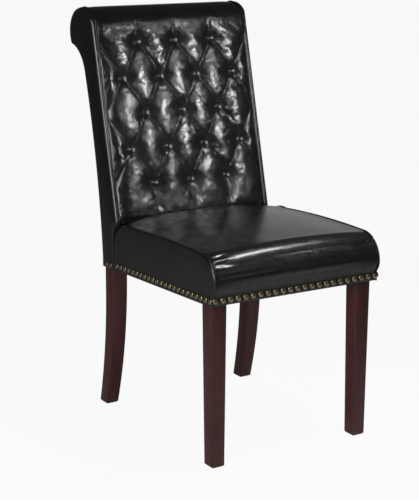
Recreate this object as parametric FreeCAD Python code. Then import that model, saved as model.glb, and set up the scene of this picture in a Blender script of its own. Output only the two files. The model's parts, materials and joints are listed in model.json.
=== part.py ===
import FreeCAD, Part
import math
import os

# Parsons chair with a scrolled, button-tufted back, a boxed seat and four wooden legs.
# Millimetres, +Z up, the sitter faces -Y. The origin is on the floor, centred under the chair.
# Shapes are drawn with depth measured back from the seat's front bottom edge, then moved to the frame.

V = FreeCAD.Vector
ACROSS = V(1, 0, 0)
UP = V(0, 0, 1)

# Overall size
WIDTH = 469.9
DEPTH = 698.5
HEIGHT = 1009.65

# Nail trim
NAIL_RADIUS = 7.6
NAIL_HEIGHT = 3.9
NAIL_RISE = 13.0
NAIL_COUNT_FRONT = 23
NAIL_PITCH_FRONT = 20.2
NAIL_COUNT_SIDE = 23
NAIL_PITCH_SIDE = 19.8
NAIL_FIRST_SIDE = 7.0
NAIL_DEPTHS_BACK = (481.0, 500.5)
FLATS = 8

# Seat unit, tilted back a little; its own depth and height run from its front bottom edge
SEAT_BOTTOM = 391.8
SEAT_SLOPE = 1.93
SEAT_BULGE = 10.0
SEAT_HALF = WIDTH / 2 - NAIL_HEIGHT
SEAT_REAR = 463.0
SEAT_SIDE_HEIGHT = 120.0
SEAT_CROWN = 16.0
SEAT_LEAN_BACK = 2.29
NAIL_BAND = 25.0
NOSE_RADIUS = 52.0
NOSE_DROP = 6.0
CROWN_NARROWING = 2.0
BELLY_OUT = 0.72
BELLY_UP = 0.42
REAR_TURN_START = (372.0, 434.0)
REAR_TURN_END = (62.0, 100.0)
REAR_TURN_ROUND = 0.72
COVER = 3.0
GAP = 0.3
SIDE_PANEL = 4.6
SEAT_STATIONS = ((1.0, 0.0), (0.88, 0.45), (0.55, 0.85))
SIDE_PANEL_EDGE = ((SIDE_PANEL, 0.0), (1.6, 1.0), (0.0, 4.6))
BEYOND = 300.0

# Seat frame
RAIL = 21.0
RAIL_BASE = 2.0
RAIL_TOP = 70.0
RAIL_FRONT = 4.0
RAIL_OUTER = SEAT_HALF - SIDE_PANEL - 1.4
RAIL_INNER = RAIL_OUTER - RAIL
RAIL_REAR = SEAT_REAR - COVER - 2.6
STRAP = 1.8
STRAP_WIDTH = 50.0
STRAP_RISE = 31.0
LONG_STRAP_PLACES = (-126.0, -42.0, 42.0, 126.0)
CROSS_STRAP_PLACES = (95.0, 190.0, 285.0, 380.0)
FOAM_BASE = RAIL_TOP + 2 * STRAP + 1.0
BLOCK_LOW = 28.0
BLOCK_HIGH = 50.0
BLOCK_CLEARANCE = 2.0
FRONT_BLOCK_DEEP = 34.0
REAR_BLOCK_SIDE = 56.0

# Legs
GLIDE_HEIGHT = 2.5
GLIDE_RADIUS = 10.0
FRONT_LEG_OUTER_TOP = 221.6
FRONT_LEG_OUTER_FOOT = 217.7
FRONT_LEG_FACE = 17.4
FRONT_LEG_TOP = (40.4, 41.3)
FRONT_LEG_FOOT = (33.4, 35.6)
LEG_HEAD_HEIGHT = 60.0
REAR_LEG_OUTER = 222.5
REAR_LEG_TOP = (40.4, 41.3)
REAR_LEG_FOOT = (34.4, 36.0)
REAR_LEG_FACE = 481.0
REAR_LEG_SWEEP = 44.0
REAR_LEG_BEND = 312.0
REAR_LEG_TAPER_TOP = 330.0
TONGUE_TOP = 482.0
FOOT_CHAMFER = 3.0

# Back unit: a front plane that leans back and meets the roll on a tangent
BACK_LEAN = 13.62
ROLL_RADIUS = 62.0
ROLL_DEPTH = DEPTH - SEAT_BULGE - ROLL_RADIUS
ROLL_HEIGHT = HEIGHT - ROLL_RADIUS
NOTCH_ANGLE = -31.0
BACK_BOTTOM = 370.0
BACK_FRONT_LOW = 471.0
BACK_REAR_LOW = 526.0
BACK_HALF = 229.0
BACK_COVER_HALF = 214.5
POST_INNER = 200.0
STEP_HEIGHT = 452.0
STEP_MID_HEIGHT = 474.0
STEP_MID_SHARE = 0.24
NOSE_HEIGHT = 492.0
NECK_MID = (634.0, 893.5)
NECK = (610.0, 853.0)
REAR_MID = (558.0, 640.0)
REAR_LOW_HEIGHT = 395.0
ROLL_BASE = 866.0
BACK_PANEL_EDGE = ((BACK_COVER_HALF + 0.3, 0.0, 0.0, 0.0), (221.5, 3.2, 0.6, 0.5), (226.8, 8.6, 1.8, 1.6),
                   (BACK_HALF, 16.0, 4.0, 4.2))
BOTTOM_RAIL = (378.0, 468.0)
BOTTOM_RAIL_DEPTH = (4.0, 26.0)

# Tufting: diamonds on the front plane, measured down from the roll's tangent line
HALF_PITCH = 53.5
ROW_PITCH = 88.2
FIRST_ROW = 38.5
ROWS = 5
TUFT_DEPTH = 13.5
PLEAT_DEPTH = 8.0
PLEAT_REACH = 30.0
SEAM_DEPTH = 4.5
SEAM_REACH = 24.0
TUFTED_LENGTH = 484.0
PAD = 20.0
POCKET_RADIUS = 6.9
POCKET_MOUTH = 15.0
POCKET_FLOOR = 16.0
POCKET_LIP = 5.0
BUTTON_RADIUS = 6.6
BUTTON_HEIGHT = 5.6
TWINE_RADIUS = 1.0
TWINE_SIDES = 6
TWINE_CLEARANCE = 0.15
FOAM_DEEP = 32.0
BOARD_DEEP = 35.3
WASHER_RADIUS = 5.5
RAIL_SHALLOW = BOARD_DEEP + 0.1
RAIL_DEEP = 60.0
TOP_RAIL = (-112.0, -52.0)
MIDDLE_RAIL = (-374.0, -320.0)

# Fasteners
BOLT_RADIUS = 4.0
BOLT_CLEARANCE = 0.2
BOLT_HEAD_RADIUS = 7.0
BOLT_HEAD_HEIGHT = 5.0
BACK_BOLT_LENGTH = 78.0
TONGUE_BOLT_LENGTH = 37.5
HANGER_BOLT_LENGTH = 74.0
TEE_NUT_RADIUS = 11.0
TEE_NUT_HEIGHT = 2.0
LEG_WASHER_RADIUS = 11.0
LEG_WASHER_HEIGHT = 1.5
LEG_NUT_RADIUS = 7.5
LEG_NUT_HEIGHT = 6.5
BACK_BOLTS_X = (-120.0, 120.0)
BACK_BOLTS_Z = (398.0, 432.0)
TONGUE_BOLTS_Z = (402.0, 452.0)
TONGUE_BOLT_DEPTH = 506.0


def shape_points(points):
    """Closed wire of straight lines through the points."""
    return Part.makePolygon(list(points) + [points[0]])


def slab(points, direction):
    """Solid made by pushing a flat outline along a direction."""
    return Part.Face(shape_points(points)).extrude(direction)


def block(x0, x1, y0, y1, z0, z1):
    """Box between two corners."""
    return Part.makeBox(x1 - x0, y1 - y0, z1 - z0, V(x0, y0, z0))


def bar(radius, sides, start, direction, length):
    """Bar with a regular flat-sided section, from a point along a direction."""
    turns = [2 * math.pi * index / sides for index in range(sides)]
    shape = slab([V(radius * math.cos(turn), radius * math.sin(turn), 0) for turn in turns], UP * length)
    shape.Placement = FreeCAD.Placement(start, FreeCAD.Rotation(UP, direction))
    return shape


def tapered(rings, sides, place):
    """Solid with flat faces through flat-sided rings, each a radius and a height above the place."""
    turns = [2 * math.pi * index / sides for index in range(sides)]
    loops = [[place + V(radius * math.cos(turn), radius * math.sin(turn), height) for turn in turns]
             for radius, height in rings]
    faces = [Part.Face(shape_points(loops[0])), Part.Face(shape_points(loops[-1]))]
    for low, high in zip(loops, loops[1:]):
        for index in range(sides):
            following = (index + 1) % sides
            corners = [low[index], low[following], high[following], high[index]]
            faces.append(Part.Face(shape_points(corners)))
    return Part.Solid(Part.Shell(faces))


def dome(radius, height, place):
    """Small domed head in a few flats."""
    return tapered([(radius, 0.0), (radius * 0.5, height)], FLATS, place)


def between(ends, share):
    """Value a share of the way from the first end to the second."""
    return ends[0] + (ends[1] - ends[0]) * share


def mirrored(shape):
    """The same shape on the other side of the chair."""
    return shape.mirror(V(0, 0, 0), ACROSS)


def both_sides(shapes):
    """Shapes and their mirror images in one list."""
    return list(shapes) + [mirrored(shape) for shape in shapes]


def seated(shape):
    """Move a shape from the seat unit's own square axes to its tilted place."""
    tilt = FreeCAD.Placement(V(0, 0, SEAT_BOTTOM), FreeCAD.Rotation(ACROSS, -SEAT_SLOPE))
    turned = shape.copy()
    turned.Placement = tilt.multiply(shape.Placement)
    return turned


def on_back(shape):
    """Move a shape from the front plane's axes (across, up the plane, outwards) to its place."""
    lean = math.radians(BACK_LEAN)
    tangent = V(0, ROLL_DEPTH - ROLL_RADIUS * math.cos(lean), ROLL_HEIGHT + ROLL_RADIUS * math.sin(lean))
    leaning = FreeCAD.Placement(tangent, FreeCAD.Rotation(ACROSS, 90 - BACK_LEAN))
    placed = shape.copy()
    placed.Placement = leaning.multiply(shape.Placement)
    return placed


def roll_point(angle, radius):
    """Depth and height of a point on the roll, by its angle above the rear."""
    turn = math.radians(angle)
    return ROLL_DEPTH + radius * math.cos(turn), ROLL_HEIGHT + radius * math.sin(turn)


# Seat forms

def seat_outline(x, fullness, inset, floor):
    """Side outline of the seat at one place across it, fuller towards the middle."""
    rise = SEAT_SIDE_HEIGHT + SEAT_CROWN * fullness - inset
    bulge = SEAT_BULGE + SEAT_LEAN_BACK - CROWN_NARROWING * (1 - fullness) - inset
    nose_radius = NOSE_RADIUS - inset
    nose_top = rise - NOSE_DROP - CROWN_NARROWING * fullness
    nose_centre = nose_top - nose_radius
    rear = SEAT_REAR - inset
    rear_start = between(REAR_TURN_START, fullness)
    rear_end = between(REAR_TURN_END, fullness)
    corner = math.sqrt(0.5)
    front_low = V(x, inset, floor)
    band_top = V(x, inset, NAIL_BAND)
    nose_low = V(x, -bulge, nose_centre)
    nose_mid = V(x, -bulge + nose_radius * (1 - corner), nose_centre + nose_radius * corner)
    nose_high = V(x, -bulge + nose_radius, nose_top)
    belly = V(x, -bulge * BELLY_OUT, between((NAIL_BAND, nose_centre), BELLY_UP))
    top_rear = V(x, rear_start, rise - 1.0)
    top_mid = V(x, (nose_high.y + rear_start) / 2, rise + 1.0)
    rear_top = V(x, rear, rear_end)
    rear_mid = V(x, between((rear_start, rear), REAR_TURN_ROUND), between((rear_end, rise), REAR_TURN_ROUND))
    rear_low = V(x, rear, floor)
    edges = [Part.LineSegment(front_low, band_top), Part.Arc(band_top, belly, nose_low),
             Part.Arc(nose_low, nose_mid, nose_high), Part.Arc(nose_high, top_mid, top_rear),
             Part.Arc(top_rear, rear_mid, rear_top), Part.LineSegment(rear_top, rear_low),
             Part.LineSegment(rear_low, front_low)]
    return Part.Wire([edge.toShape() for edge in edges])


def seat_form(half):
    """The crowned outside of the seat cushion."""
    left = [(-place, fullness) for place, fullness in SEAT_STATIONS]
    stations = left + [(0.0, 1.0)] + list(SEAT_STATIONS[::-1])
    wires = [seat_outline(half * place, fullness, 0.0, 0.0) for place, fullness in stations]
    return Part.makeLoft(wires, True, True)


def seat_core(half, inset, floor):
    """Straight core of the cushion, drawn in from the side outline by a thickness."""
    return Part.Face(seat_outline(-half, 0.0, inset, floor)).extrude(V(2 * half, 0, 0))


def make_seat_cover(clear_of_back):
    """Top and front panel with its wadding, thicker towards the middle and open underneath."""
    outside = seated(seat_form(SEAT_HALF - SIDE_PANEL - GAP)).cut(clear_of_back)
    hollow = seated(seat_core(BEYOND, COVER, -6.0)).cut(clear_of_back.makeOffsetShape(COVER, 0.01))
    return outside.cut(hollow)


def make_seat_foam(clear_of_back):
    """Foam that fills the cover above the webbing and ahead of the front rail."""
    half = SEAT_HALF - SIDE_PANEL - GAP
    foam = seated(seat_core(half, COVER + GAP, 3.0)).cut(clear_of_back.makeOffsetShape(COVER + GAP, 0.01))
    frame_space = block(-BEYOND, BEYOND, RAIL_FRONT - GAP, 2 * BEYOND, -20, FOAM_BASE)
    return foam.cut(seated(frame_space))


def make_seat_side_panel():
    """Flat side panel with a curved top seam, its edge rolled over towards the cover."""
    wires = [seat_outline(SEAT_HALF - deep, 0.0, draw, 0.0) for deep, draw in SIDE_PANEL_EDGE]
    return seated(Part.makeLoft(wires, True, True))


# Seat frame

def make_front_rail():
    """Front rail between the side rails."""
    return seated(block(-RAIL_INNER, RAIL_INNER, RAIL_FRONT, RAIL_FRONT + RAIL, RAIL_BASE, RAIL_TOP))


def make_rear_rail(bolt_holes):
    """Rear rail, drilled for the bolts that hold the back."""
    rail = block(-RAIL_INNER, RAIL_INNER, RAIL_REAR - RAIL, RAIL_REAR, RAIL_BASE, RAIL_TOP)
    return seated(rail).cut(bolt_holes)


def make_side_rail():
    """Side rail, from the front face of the frame to the rear face."""
    return seated(block(RAIL_INNER, RAIL_OUTER, RAIL_FRONT, RAIL_REAR, RAIL_BASE, RAIL_TOP))


def leg_head_corner():
    """Distance from the rails' inner corner past the leg's head, along both rails added up."""
    head_across = RAIL_INNER - (FRONT_LEG_OUTER_TOP - FRONT_LEG_TOP[0])
    head_deep = FRONT_LEG_FACE + FRONT_LEG_TOP[1] - (RAIL_FRONT + RAIL)
    return head_across + head_deep


def make_corner_blocks(bolt_holes):
    """Diagonal blocks: one behind each front leg's head and one in each rear corner."""
    near = leg_head_corner() + BLOCK_CLEARANCE
    far = near + FRONT_BLOCK_DEEP
    front_corner = V(RAIL_INNER, RAIL_FRONT + RAIL, BLOCK_LOW)
    rear_corner = V(RAIL_INNER, RAIL_REAR - RAIL, BLOCK_LOW)
    height = UP * (BLOCK_HIGH - BLOCK_LOW)
    front = slab([front_corner + V(-near, 0, 0), front_corner + V(0, near, 0),
                  front_corner + V(0, far, 0), front_corner + V(-far, 0, 0)], height)
    rear = slab([rear_corner, rear_corner + V(0, -REAR_BLOCK_SIDE, 0), rear_corner + V(-REAR_BLOCK_SIDE, 0, 0)],
                height)
    blocks = [seated(part) for part in both_sides([front, rear])]
    return Part.makeCompound([part.cut(bolt_holes) for part in blocks])


def make_long_webbing():
    """Straps from the front rail to the rear rail."""
    strap = block(-STRAP_WIDTH / 2, STRAP_WIDTH / 2, RAIL_FRONT + 3, RAIL_REAR - 3, RAIL_TOP, RAIL_TOP + STRAP)
    return Part.makeCompound([seated(strap.translated(V(place, 0, 0))) for place in LONG_STRAP_PLACES])


def make_cross_webbing():
    """Straps from side rail to side rail, stepping up over the long straps."""
    reach = RAIL_OUTER - 3
    rise_start = RAIL_INNER - 3
    rise_end = RAIL_INNER - STRAP_RISE
    low = RAIL_TOP
    high = RAIL_TOP + STRAP
    right = [(rise_end, high), (rise_start, low), (reach, low)]
    under = [(-x, z) for x, z in reversed(right)] + right
    over = [(x, z + STRAP) for x, z in reversed(under)]
    straps = []
    for place in CROSS_STRAP_PLACES:
        outline = [V(x, place - STRAP_WIDTH / 2, z) for x, z in under + over]
        straps.append(seated(slab(outline, V(0, STRAP_WIDTH, 0))))
    return Part.makeCompound(straps)


def make_deck_cloth():
    """Cloth laid over the webbing under the foam."""
    low = RAIL_TOP + 2 * STRAP
    half = RAIL_INNER - STRAP_RISE
    return seated(block(-half, half, RAIL_FRONT + 6, RAIL_REAR - 6, low, low + 0.8))


def make_dust_cover():
    """Thin cloth under the frame, notched round the front legs' heads."""
    side = RAIL_OUTER - 8
    front = RAIL_FRONT + 4
    rear = RAIL_REAR - 6
    notch_x = FRONT_LEG_OUTER_TOP - FRONT_LEG_TOP[0] - 4
    notch_y = FRONT_LEG_FACE + FRONT_LEG_TOP[1] + 4
    outline = [(-notch_x, front), (notch_x, front), (notch_x, notch_y), (side, notch_y), (side, rear),
               (-side, rear), (-side, notch_y), (-notch_x, notch_y)]
    return seated(slab([V(x, y, RAIL_BASE - 1.0) for x, y in outline], V(0, 0, 0.8)))


# Legs

def leg_section(x_outer, y_front, width, depth, z):
    """Square section of a leg at one height."""
    x_inner = x_outer - width
    return shape_points([V(x_inner, y_front, z), V(x_outer, y_front, z),
                         V(x_outer, y_front + depth, z), V(x_inner, y_front + depth, z)])


def chamfered_foot(x_outer, y_front, width, depth):
    """Lowest slice of a leg, drawn in so that the foot doesn't splinter."""
    draw = FOOT_CHAMFER
    top = leg_section(x_outer, y_front, width, depth, GLIDE_HEIGHT + draw)
    low = leg_section(x_outer - draw, y_front + draw, width - 2 * draw, depth - 2 * draw, GLIDE_HEIGHT)
    return Part.makeLoft([low, top], True, True)


def make_front_leg(bolt_hole):
    """Straight tapered leg with a rebated head that stands inside the rails' corner."""
    start = GLIDE_HEIGHT + FOOT_CHAMFER
    high = SEAT_BOTTOM + 20
    low_section = leg_section(FRONT_LEG_OUTER_FOOT, FRONT_LEG_FACE, *FRONT_LEG_FOOT, start)
    high_section = leg_section(FRONT_LEG_OUTER_TOP, FRONT_LEG_FACE, *FRONT_LEG_TOP, high)
    shaft = Part.makeLoft([low_section, high_section], True, True)
    shaft = shaft.cut(seated(block(-BEYOND, BEYOND, -50, 2 * BEYOND, RAIL_BASE - 1.2, 200)))
    head = block(FRONT_LEG_OUTER_TOP - FRONT_LEG_TOP[0] + 0.4, RAIL_INNER - GAP, RAIL_FRONT + RAIL + 2.0,
                 FRONT_LEG_FACE + FRONT_LEG_TOP[1] - 0.4, SEAT_BOTTOM - 12, SEAT_BOTTOM + LEG_HEAD_HEIGHT)
    foot = chamfered_foot(FRONT_LEG_OUTER_FOOT, FRONT_LEG_FACE, *FRONT_LEG_FOOT)
    return shaft.fuse([head, foot]).removeSplitter().cut(bolt_hole)


def make_rear_leg(bolt_holes):
    """Sabre leg that sweeps back to the floor, with a tongue lapped against the back post."""
    top = BACK_BOTTOM - GAP
    foot_face = REAR_LEG_FACE + REAR_LEG_SWEEP
    foot_rear = foot_face + REAR_LEG_FOOT[1]
    rear_top = REAR_LEG_FACE + REAR_LEG_TOP[1]
    floor = GLIDE_HEIGHT + FOOT_CHAMFER

    def sweep_at(z, end):
        share = (REAR_LEG_BEND - z) / (REAR_LEG_BEND - floor)
        return end * share * share

    middle = (REAR_LEG_BEND + floor) / 2
    x_low = REAR_LEG_OUTER - REAR_LEG_TOP[0]
    front_bend = V(x_low, REAR_LEG_FACE, REAR_LEG_BEND)
    front_mid = V(x_low, REAR_LEG_FACE + sweep_at(middle, REAR_LEG_SWEEP), middle)
    front_foot = V(x_low, foot_face, floor)
    rear_foot = V(x_low, foot_rear, floor)
    rear_mid = V(x_low, rear_top + sweep_at(middle, foot_rear - rear_top), middle)
    rear_bend = V(x_low, rear_top, REAR_LEG_BEND)
    front_high = V(x_low, REAR_LEG_FACE, top)
    rear_high = V(x_low, rear_top, top)
    edges = [Part.LineSegment(front_high, front_bend), Part.Arc(front_bend, front_mid, front_foot),
             Part.LineSegment(front_foot, rear_foot), Part.Arc(rear_foot, rear_mid, rear_bend),
             Part.LineSegment(rear_bend, rear_high), Part.LineSegment(rear_high, front_high)]
    shaft = Part.Face(Part.Wire([edge.toShape() for edge in edges])).extrude(V(REAR_LEG_TOP[0], 0, 0))
    taper = REAR_LEG_TOP[0] - REAR_LEG_FOOT[0]
    before = REAR_LEG_FACE - 80
    shaft = shaft.cut(slab([V(x_low - 1, before, floor - 1), V(x_low + taper, before, floor - 1),
                            V(x_low, before, REAR_LEG_TAPER_TOP), V(x_low - 1, before, REAR_LEG_TAPER_TOP)],
                           V(0, BEYOND, 0)))
    tongue = block(x_low, POST_INNER - GAP, REAR_LEG_FACE, rear_top - 1.4, top - 1, TONGUE_TOP)
    shoulder = block(x_low, BACK_COVER_HALF - GAP, REAR_LEG_FACE, rear_top - 1.4, top - 1, BACK_BOTTOM + COVER)
    foot = chamfered_foot(REAR_LEG_OUTER, foot_face, *REAR_LEG_FOOT)
    return shaft.fuse([tongue, shoulder, foot]).removeSplitter().cut(bolt_holes)


def make_floor_glides():
    """Round nail-on glides under the four feet."""
    centres = [(FRONT_LEG_OUTER_FOOT - FRONT_LEG_FOOT[0] / 2, FRONT_LEG_FACE + FRONT_LEG_FOOT[1] / 2),
               (REAR_LEG_OUTER - REAR_LEG_FOOT[0] / 2, REAR_LEG_FACE + REAR_LEG_SWEEP + REAR_LEG_FOOT[1] / 2)]
    glides = []
    for x, y in centres:
        glides.append(tapered([(GLIDE_RADIUS - 1.5, 0.0), (GLIDE_RADIUS, GLIDE_HEIGHT)], 16, V(x, y, 0)))
    return Part.makeCompound(both_sides(glides))


# Back outlines

def back_outline(x, front_inset, low_inset, rear_inset):
    """Side outline of the back unit: seat notch, leaning front, roll, notch under it and curved rear."""
    lean = math.radians(BACK_LEAN)
    radius = ROLL_RADIUS - rear_inset
    standoff = ROLL_RADIUS - front_inset
    half_chord = math.sqrt(max(radius * radius - standoff * standoff, 0.0))
    top_front = (ROLL_DEPTH - standoff * math.cos(lean) + half_chord * math.sin(lean),
                 ROLL_HEIGHT + standoff * math.sin(lean) + half_chord * math.cos(lean))
    start_angle = math.degrees(math.atan2(top_front[1] - ROLL_HEIGHT, top_front[0] - ROLL_DEPTH))
    drop = (top_front[1] - NOSE_HEIGHT) * math.tan(lean)
    bottom = BACK_BOTTOM + min(rear_inset, low_inset)

    def point(pair):
        return V(x, pair[0], pair[1])

    low_front = point((BACK_FRONT_LOW + low_inset, bottom))
    step = point((BACK_FRONT_LOW + low_inset, STEP_HEIGHT))
    nose = point((top_front[0] - drop, NOSE_HEIGHT))
    step_mid = point((between((step.y, nose.y), STEP_MID_SHARE), STEP_MID_HEIGHT))
    top = point(roll_point((start_angle + 90) / 2, radius))
    crest = point(roll_point(90, radius))
    tail = point(roll_point(30, radius))
    notch = point(roll_point(NOTCH_ANGLE, radius))
    neck_mid = point((NECK_MID[0] - rear_inset, NECK_MID[1]))
    neck = point((NECK[0] - rear_inset, NECK[1]))
    rear_mid = point((REAR_MID[0] - rear_inset, REAR_MID[1]))
    rear_low = point((BACK_REAR_LOW - rear_inset, REAR_LOW_HEIGHT))
    rear_foot = point((BACK_REAR_LOW - rear_inset, bottom))
    edges = [Part.LineSegment(low_front, step), Part.Arc(step, step_mid, nose),
             Part.LineSegment(nose, point(top_front)), Part.Arc(point(top_front), top, crest),
             Part.Arc(crest, tail, notch), Part.Arc(notch, neck_mid, neck), Part.Arc(neck, rear_mid, rear_low),
             Part.LineSegment(rear_low, rear_foot), Part.LineSegment(rear_foot, low_front)]
    return Part.Wire([edge.toShape() for edge in edges])


def back_prism(x0, x1, inset):
    """Straight length of the back's outline, drawn in by a thickness."""
    return Part.Face(back_outline(x0, inset, inset, inset)).extrude(V(x1 - x0, 0, 0))


def make_back_side_panel():
    """Padded side panel whose front edge is rolled over to the seam beside the tufting."""
    return Part.makeLoft([back_outline(*section) for section in BACK_PANEL_EDGE], True, True)


def make_back_rear_cover():
    """Outside-back panel from the notch under the roll to the bottom edge."""
    def line(inset):
        rear = (NECK_MID, NECK, REAR_MID, (BACK_REAR_LOW, REAR_LOW_HEIGHT), (BACK_REAR_LOW, BACK_BOTTOM))
        start = V(0, *roll_point(NOTCH_ANGLE, ROLL_RADIUS - inset))
        return [start] + [V(0, depth - inset, height) for depth, height in rear]

    outer = line(0.0)
    inner = line(COVER)
    edges = [Part.Arc(*outer[0:3]), Part.Arc(*outer[2:5]), Part.LineSegment(outer[4], outer[5]),
             Part.LineSegment(outer[5], inner[5]), Part.LineSegment(inner[5], inner[4]),
             Part.Arc(*inner[4:1:-1]), Part.Arc(*inner[2::-1]), Part.LineSegment(inner[0], outer[0])]
    face = Part.Face(Part.Wire([edge.toShape() for edge in edges]))
    return face.extrude(V(2 * BACK_COVER_HALF, 0, 0)).translated(V(-BACK_COVER_HALF, 0, 0))


# Tufted front

def button_places():
    """Across and up-the-plane place of every button, rows of three and four in turn."""
    places = []
    for row in range(ROWS):
        count = 3 + row % 2
        height = -FIRST_ROW - ROW_PITCH * row
        places += [(HALF_PITCH * (2 * index - count + 1), height) for index in range(count)]
    return places


def edge_roll_off(start, end, reach, depth):
    """Cutter that rounds a pillow down to a groove along one of its edges, kept on the edge's left."""
    along = (end - start).normalize()
    inward = UP.cross(along)
    radius = (reach * reach + depth * depth) / (2 * depth)
    middle_out = reach * 0.42
    middle_low = -radius + math.sqrt(radius * radius - (reach - middle_out) ** 2)
    origin = start - along * 90

    def place(out, level):
        return origin + inward * out + UP * level

    corners = [place(reach, 0), place(reach, 8), place(-30, 8), place(-30, -depth), place(0, -depth)]
    edges = [Part.Arc(corners[-1], place(middle_out, middle_low), corners[0])]
    edges += [Part.LineSegment(first, second) for first, second in zip(corners, corners[1:])]
    profile = Part.Face(Part.Wire([edge.toShape() for edge in edges]))
    return profile.extrude(along * ((end - start).Length + 180))


def pillow(corners, kinds):
    """One pillow of the tufting: a prism with each edge rounded down by its kind."""
    diagonal = HALF_PITCH * ROW_PITCH / math.hypot(HALF_PITCH, ROW_PITCH)
    shapes = {"tuft": (diagonal, TUFT_DEPTH), "pleat": (PLEAT_REACH, PLEAT_DEPTH),
              "seam": (SEAM_REACH, SEAM_DEPTH)}
    points = [V(x, y, -PAD) for x, y in corners]
    body = slab(points, UP * PAD)
    for index, kind in enumerate(kinds):
        if kind == "open":
            continue
        start = V(corners[index][0], corners[index][1], 0)
        following = corners[(index + 1) % len(corners)]
        body = body.cut(edge_roll_off(start, V(following[0], following[1], 0), *shapes[kind]))
    return body


def tufting_cells():
    """Corners and edge kinds of every pillow, anticlockwise from the lowest corner."""
    cells = []
    side = BACK_COVER_HALF
    for row in (1, 2, 3):
        height = -FIRST_ROW - ROW_PITCH * row
        offsets = (0.0, 2.0, -2.0) if row % 2 else (1.0, -1.0, 3.0, -3.0)
        for offset in offsets:
            x = offset * HALF_PITCH
            cells.append(([(x, height - ROW_PITCH), (x + HALF_PITCH, height), (x, height + ROW_PITCH),
                           (x - HALF_PITCH, height)], ["tuft"] * 4))
        if row % 2:
            x = 3 * HALF_PITCH
            reach = ROW_PITCH * (side - x) / HALF_PITCH
            kinds = ["tuft", "seam", "tuft"]
            cells.append(([(x, height), (side, height - reach), (side, height + reach)], kinds))
            cells.append(([(-x, height), (-side, height + reach), (-side, height - reach)], kinds))
    first = -FIRST_ROW
    last = -FIRST_ROW - ROW_PITCH * (ROWS - 1)
    for offset in (-3.0, -1.0, 1.0, 3.0):
        x = offset * HALF_PITCH
        left = max(x - HALF_PITCH, -side) if offset > -3 else -side
        right = min(x + HALF_PITCH, side) if offset < 3 else side
        left_kind = "seam" if offset == -3 else "pleat"
        right_kind = "seam" if offset == 3 else "pleat"
        cells.append(([(x, first - ROW_PITCH), (right, first), (right, 0), (left, 0), (left, first)],
                      ["tuft", right_kind, "open", left_kind, "tuft"]))
        cells.append(([(left, -TUFTED_LENGTH), (right, -TUFTED_LENGTH), (right, last), (x, last + ROW_PITCH),
                       (left, last)], ["seam", right_kind, "tuft", "tuft", left_kind]))
    return cells


def button_pocket(x, y):
    """Cone-shaped well that a button is pulled down into, with the twine's hole under it."""
    rings = [(POCKET_RADIUS, -POCKET_FLOOR), (POCKET_MOUTH, -POCKET_LIP), (POCKET_MOUTH + 4, 8)]
    well = tapered(rings, FLATS, V(x, y, 0))
    return well.fuse(bar(TWINE_RADIUS + TWINE_CLEARANCE, TWINE_SIDES, V(x, y, -50), UP, 60))


def make_back_front_cover():
    """Tufted front cover with its wadding, running on over the roll to the notch behind it."""
    pillows = [pillow(*cell) for cell in tufting_cells()]
    pad = pillows[0].fuse(pillows[1:]).removeSplitter()
    pad = pad.cut([button_pocket(*place) for place in button_places()])
    start = 180 - BACK_LEAN
    turns = (start, (start + NOTCH_ANGLE) / 2, NOTCH_ANGLE)
    outer = [V(-BACK_COVER_HALF, *roll_point(turn, ROLL_RADIUS)) for turn in turns]
    inner = [V(-BACK_COVER_HALF, *roll_point(turn, ROLL_RADIUS - COVER)) for turn in turns]
    edges = [Part.Arc(*outer), Part.LineSegment(outer[2], inner[2]), Part.Arc(*reversed(inner)),
             Part.LineSegment(inner[0], outer[0])]
    wrap = Part.Face(Part.Wire([edge.toShape() for edge in edges])).extrude(V(2 * BACK_COVER_HALF, 0, 0))
    return on_back(pad).fuse(wrap).removeSplitter()


def make_back_slab(near, far, top):
    """Flat layer behind the tufting, with the twine holes through it."""
    layer = block(-BACK_COVER_HALF + 0.5, BACK_COVER_HALF - 0.5, -TUFTED_LENGTH + 3, top, -far, -near)
    holes = [bar(TWINE_RADIUS + TWINE_CLEARANCE, TWINE_SIDES, V(x, y, -far - 5), UP, far)
             for x, y in button_places()]
    return on_back(layer.cut(holes))


def make_tufting_buttons():
    """Covered dome buttons at the bottom of the wells."""
    return Part.makeCompound([on_back(dome(BUTTON_RADIUS, BUTTON_HEIGHT, V(x, y, -POCKET_FLOOR)))
                              for x, y in button_places()])


def make_tufting_twine():
    """Twine from each button through the foam and board."""
    length = BOARD_DEEP - POCKET_FLOOR + 1.6
    return Part.makeCompound([on_back(bar(TWINE_RADIUS, TWINE_SIDES, V(x, y, -BOARD_DEEP - 1.6), UP, length))
                              for x, y in button_places()])


def make_tufting_washers():
    """Washers that stop the twine behind the board."""
    washers = []
    for x, y in button_places():
        disc = bar(WASHER_RADIUS, FLATS, V(x, y, -BOARD_DEEP - 1.5), UP, 1.4)
        hole = bar(TWINE_RADIUS + TWINE_CLEARANCE, TWINE_SIDES, V(x, y, -BOARD_DEEP - 3), UP, 4)
        washers.append(on_back(disc.cut(hole)))
    return Part.makeCompound(washers)


# Back frame

def behind_board():
    """Space taken by the tufting, foam and board on the front plane."""
    return on_back(block(-BEYOND, BEYOND, -3 * BEYOND, GAP, -BOARD_DEEP - GAP, 60))


def make_back_post(bolt_holes):
    """Side board sawn to the scroll's outline."""
    post = back_prism(POST_INNER, BACK_COVER_HALF - GAP, COVER + GAP)
    return post.cut(behind_board()).cut(bolt_holes)


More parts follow.
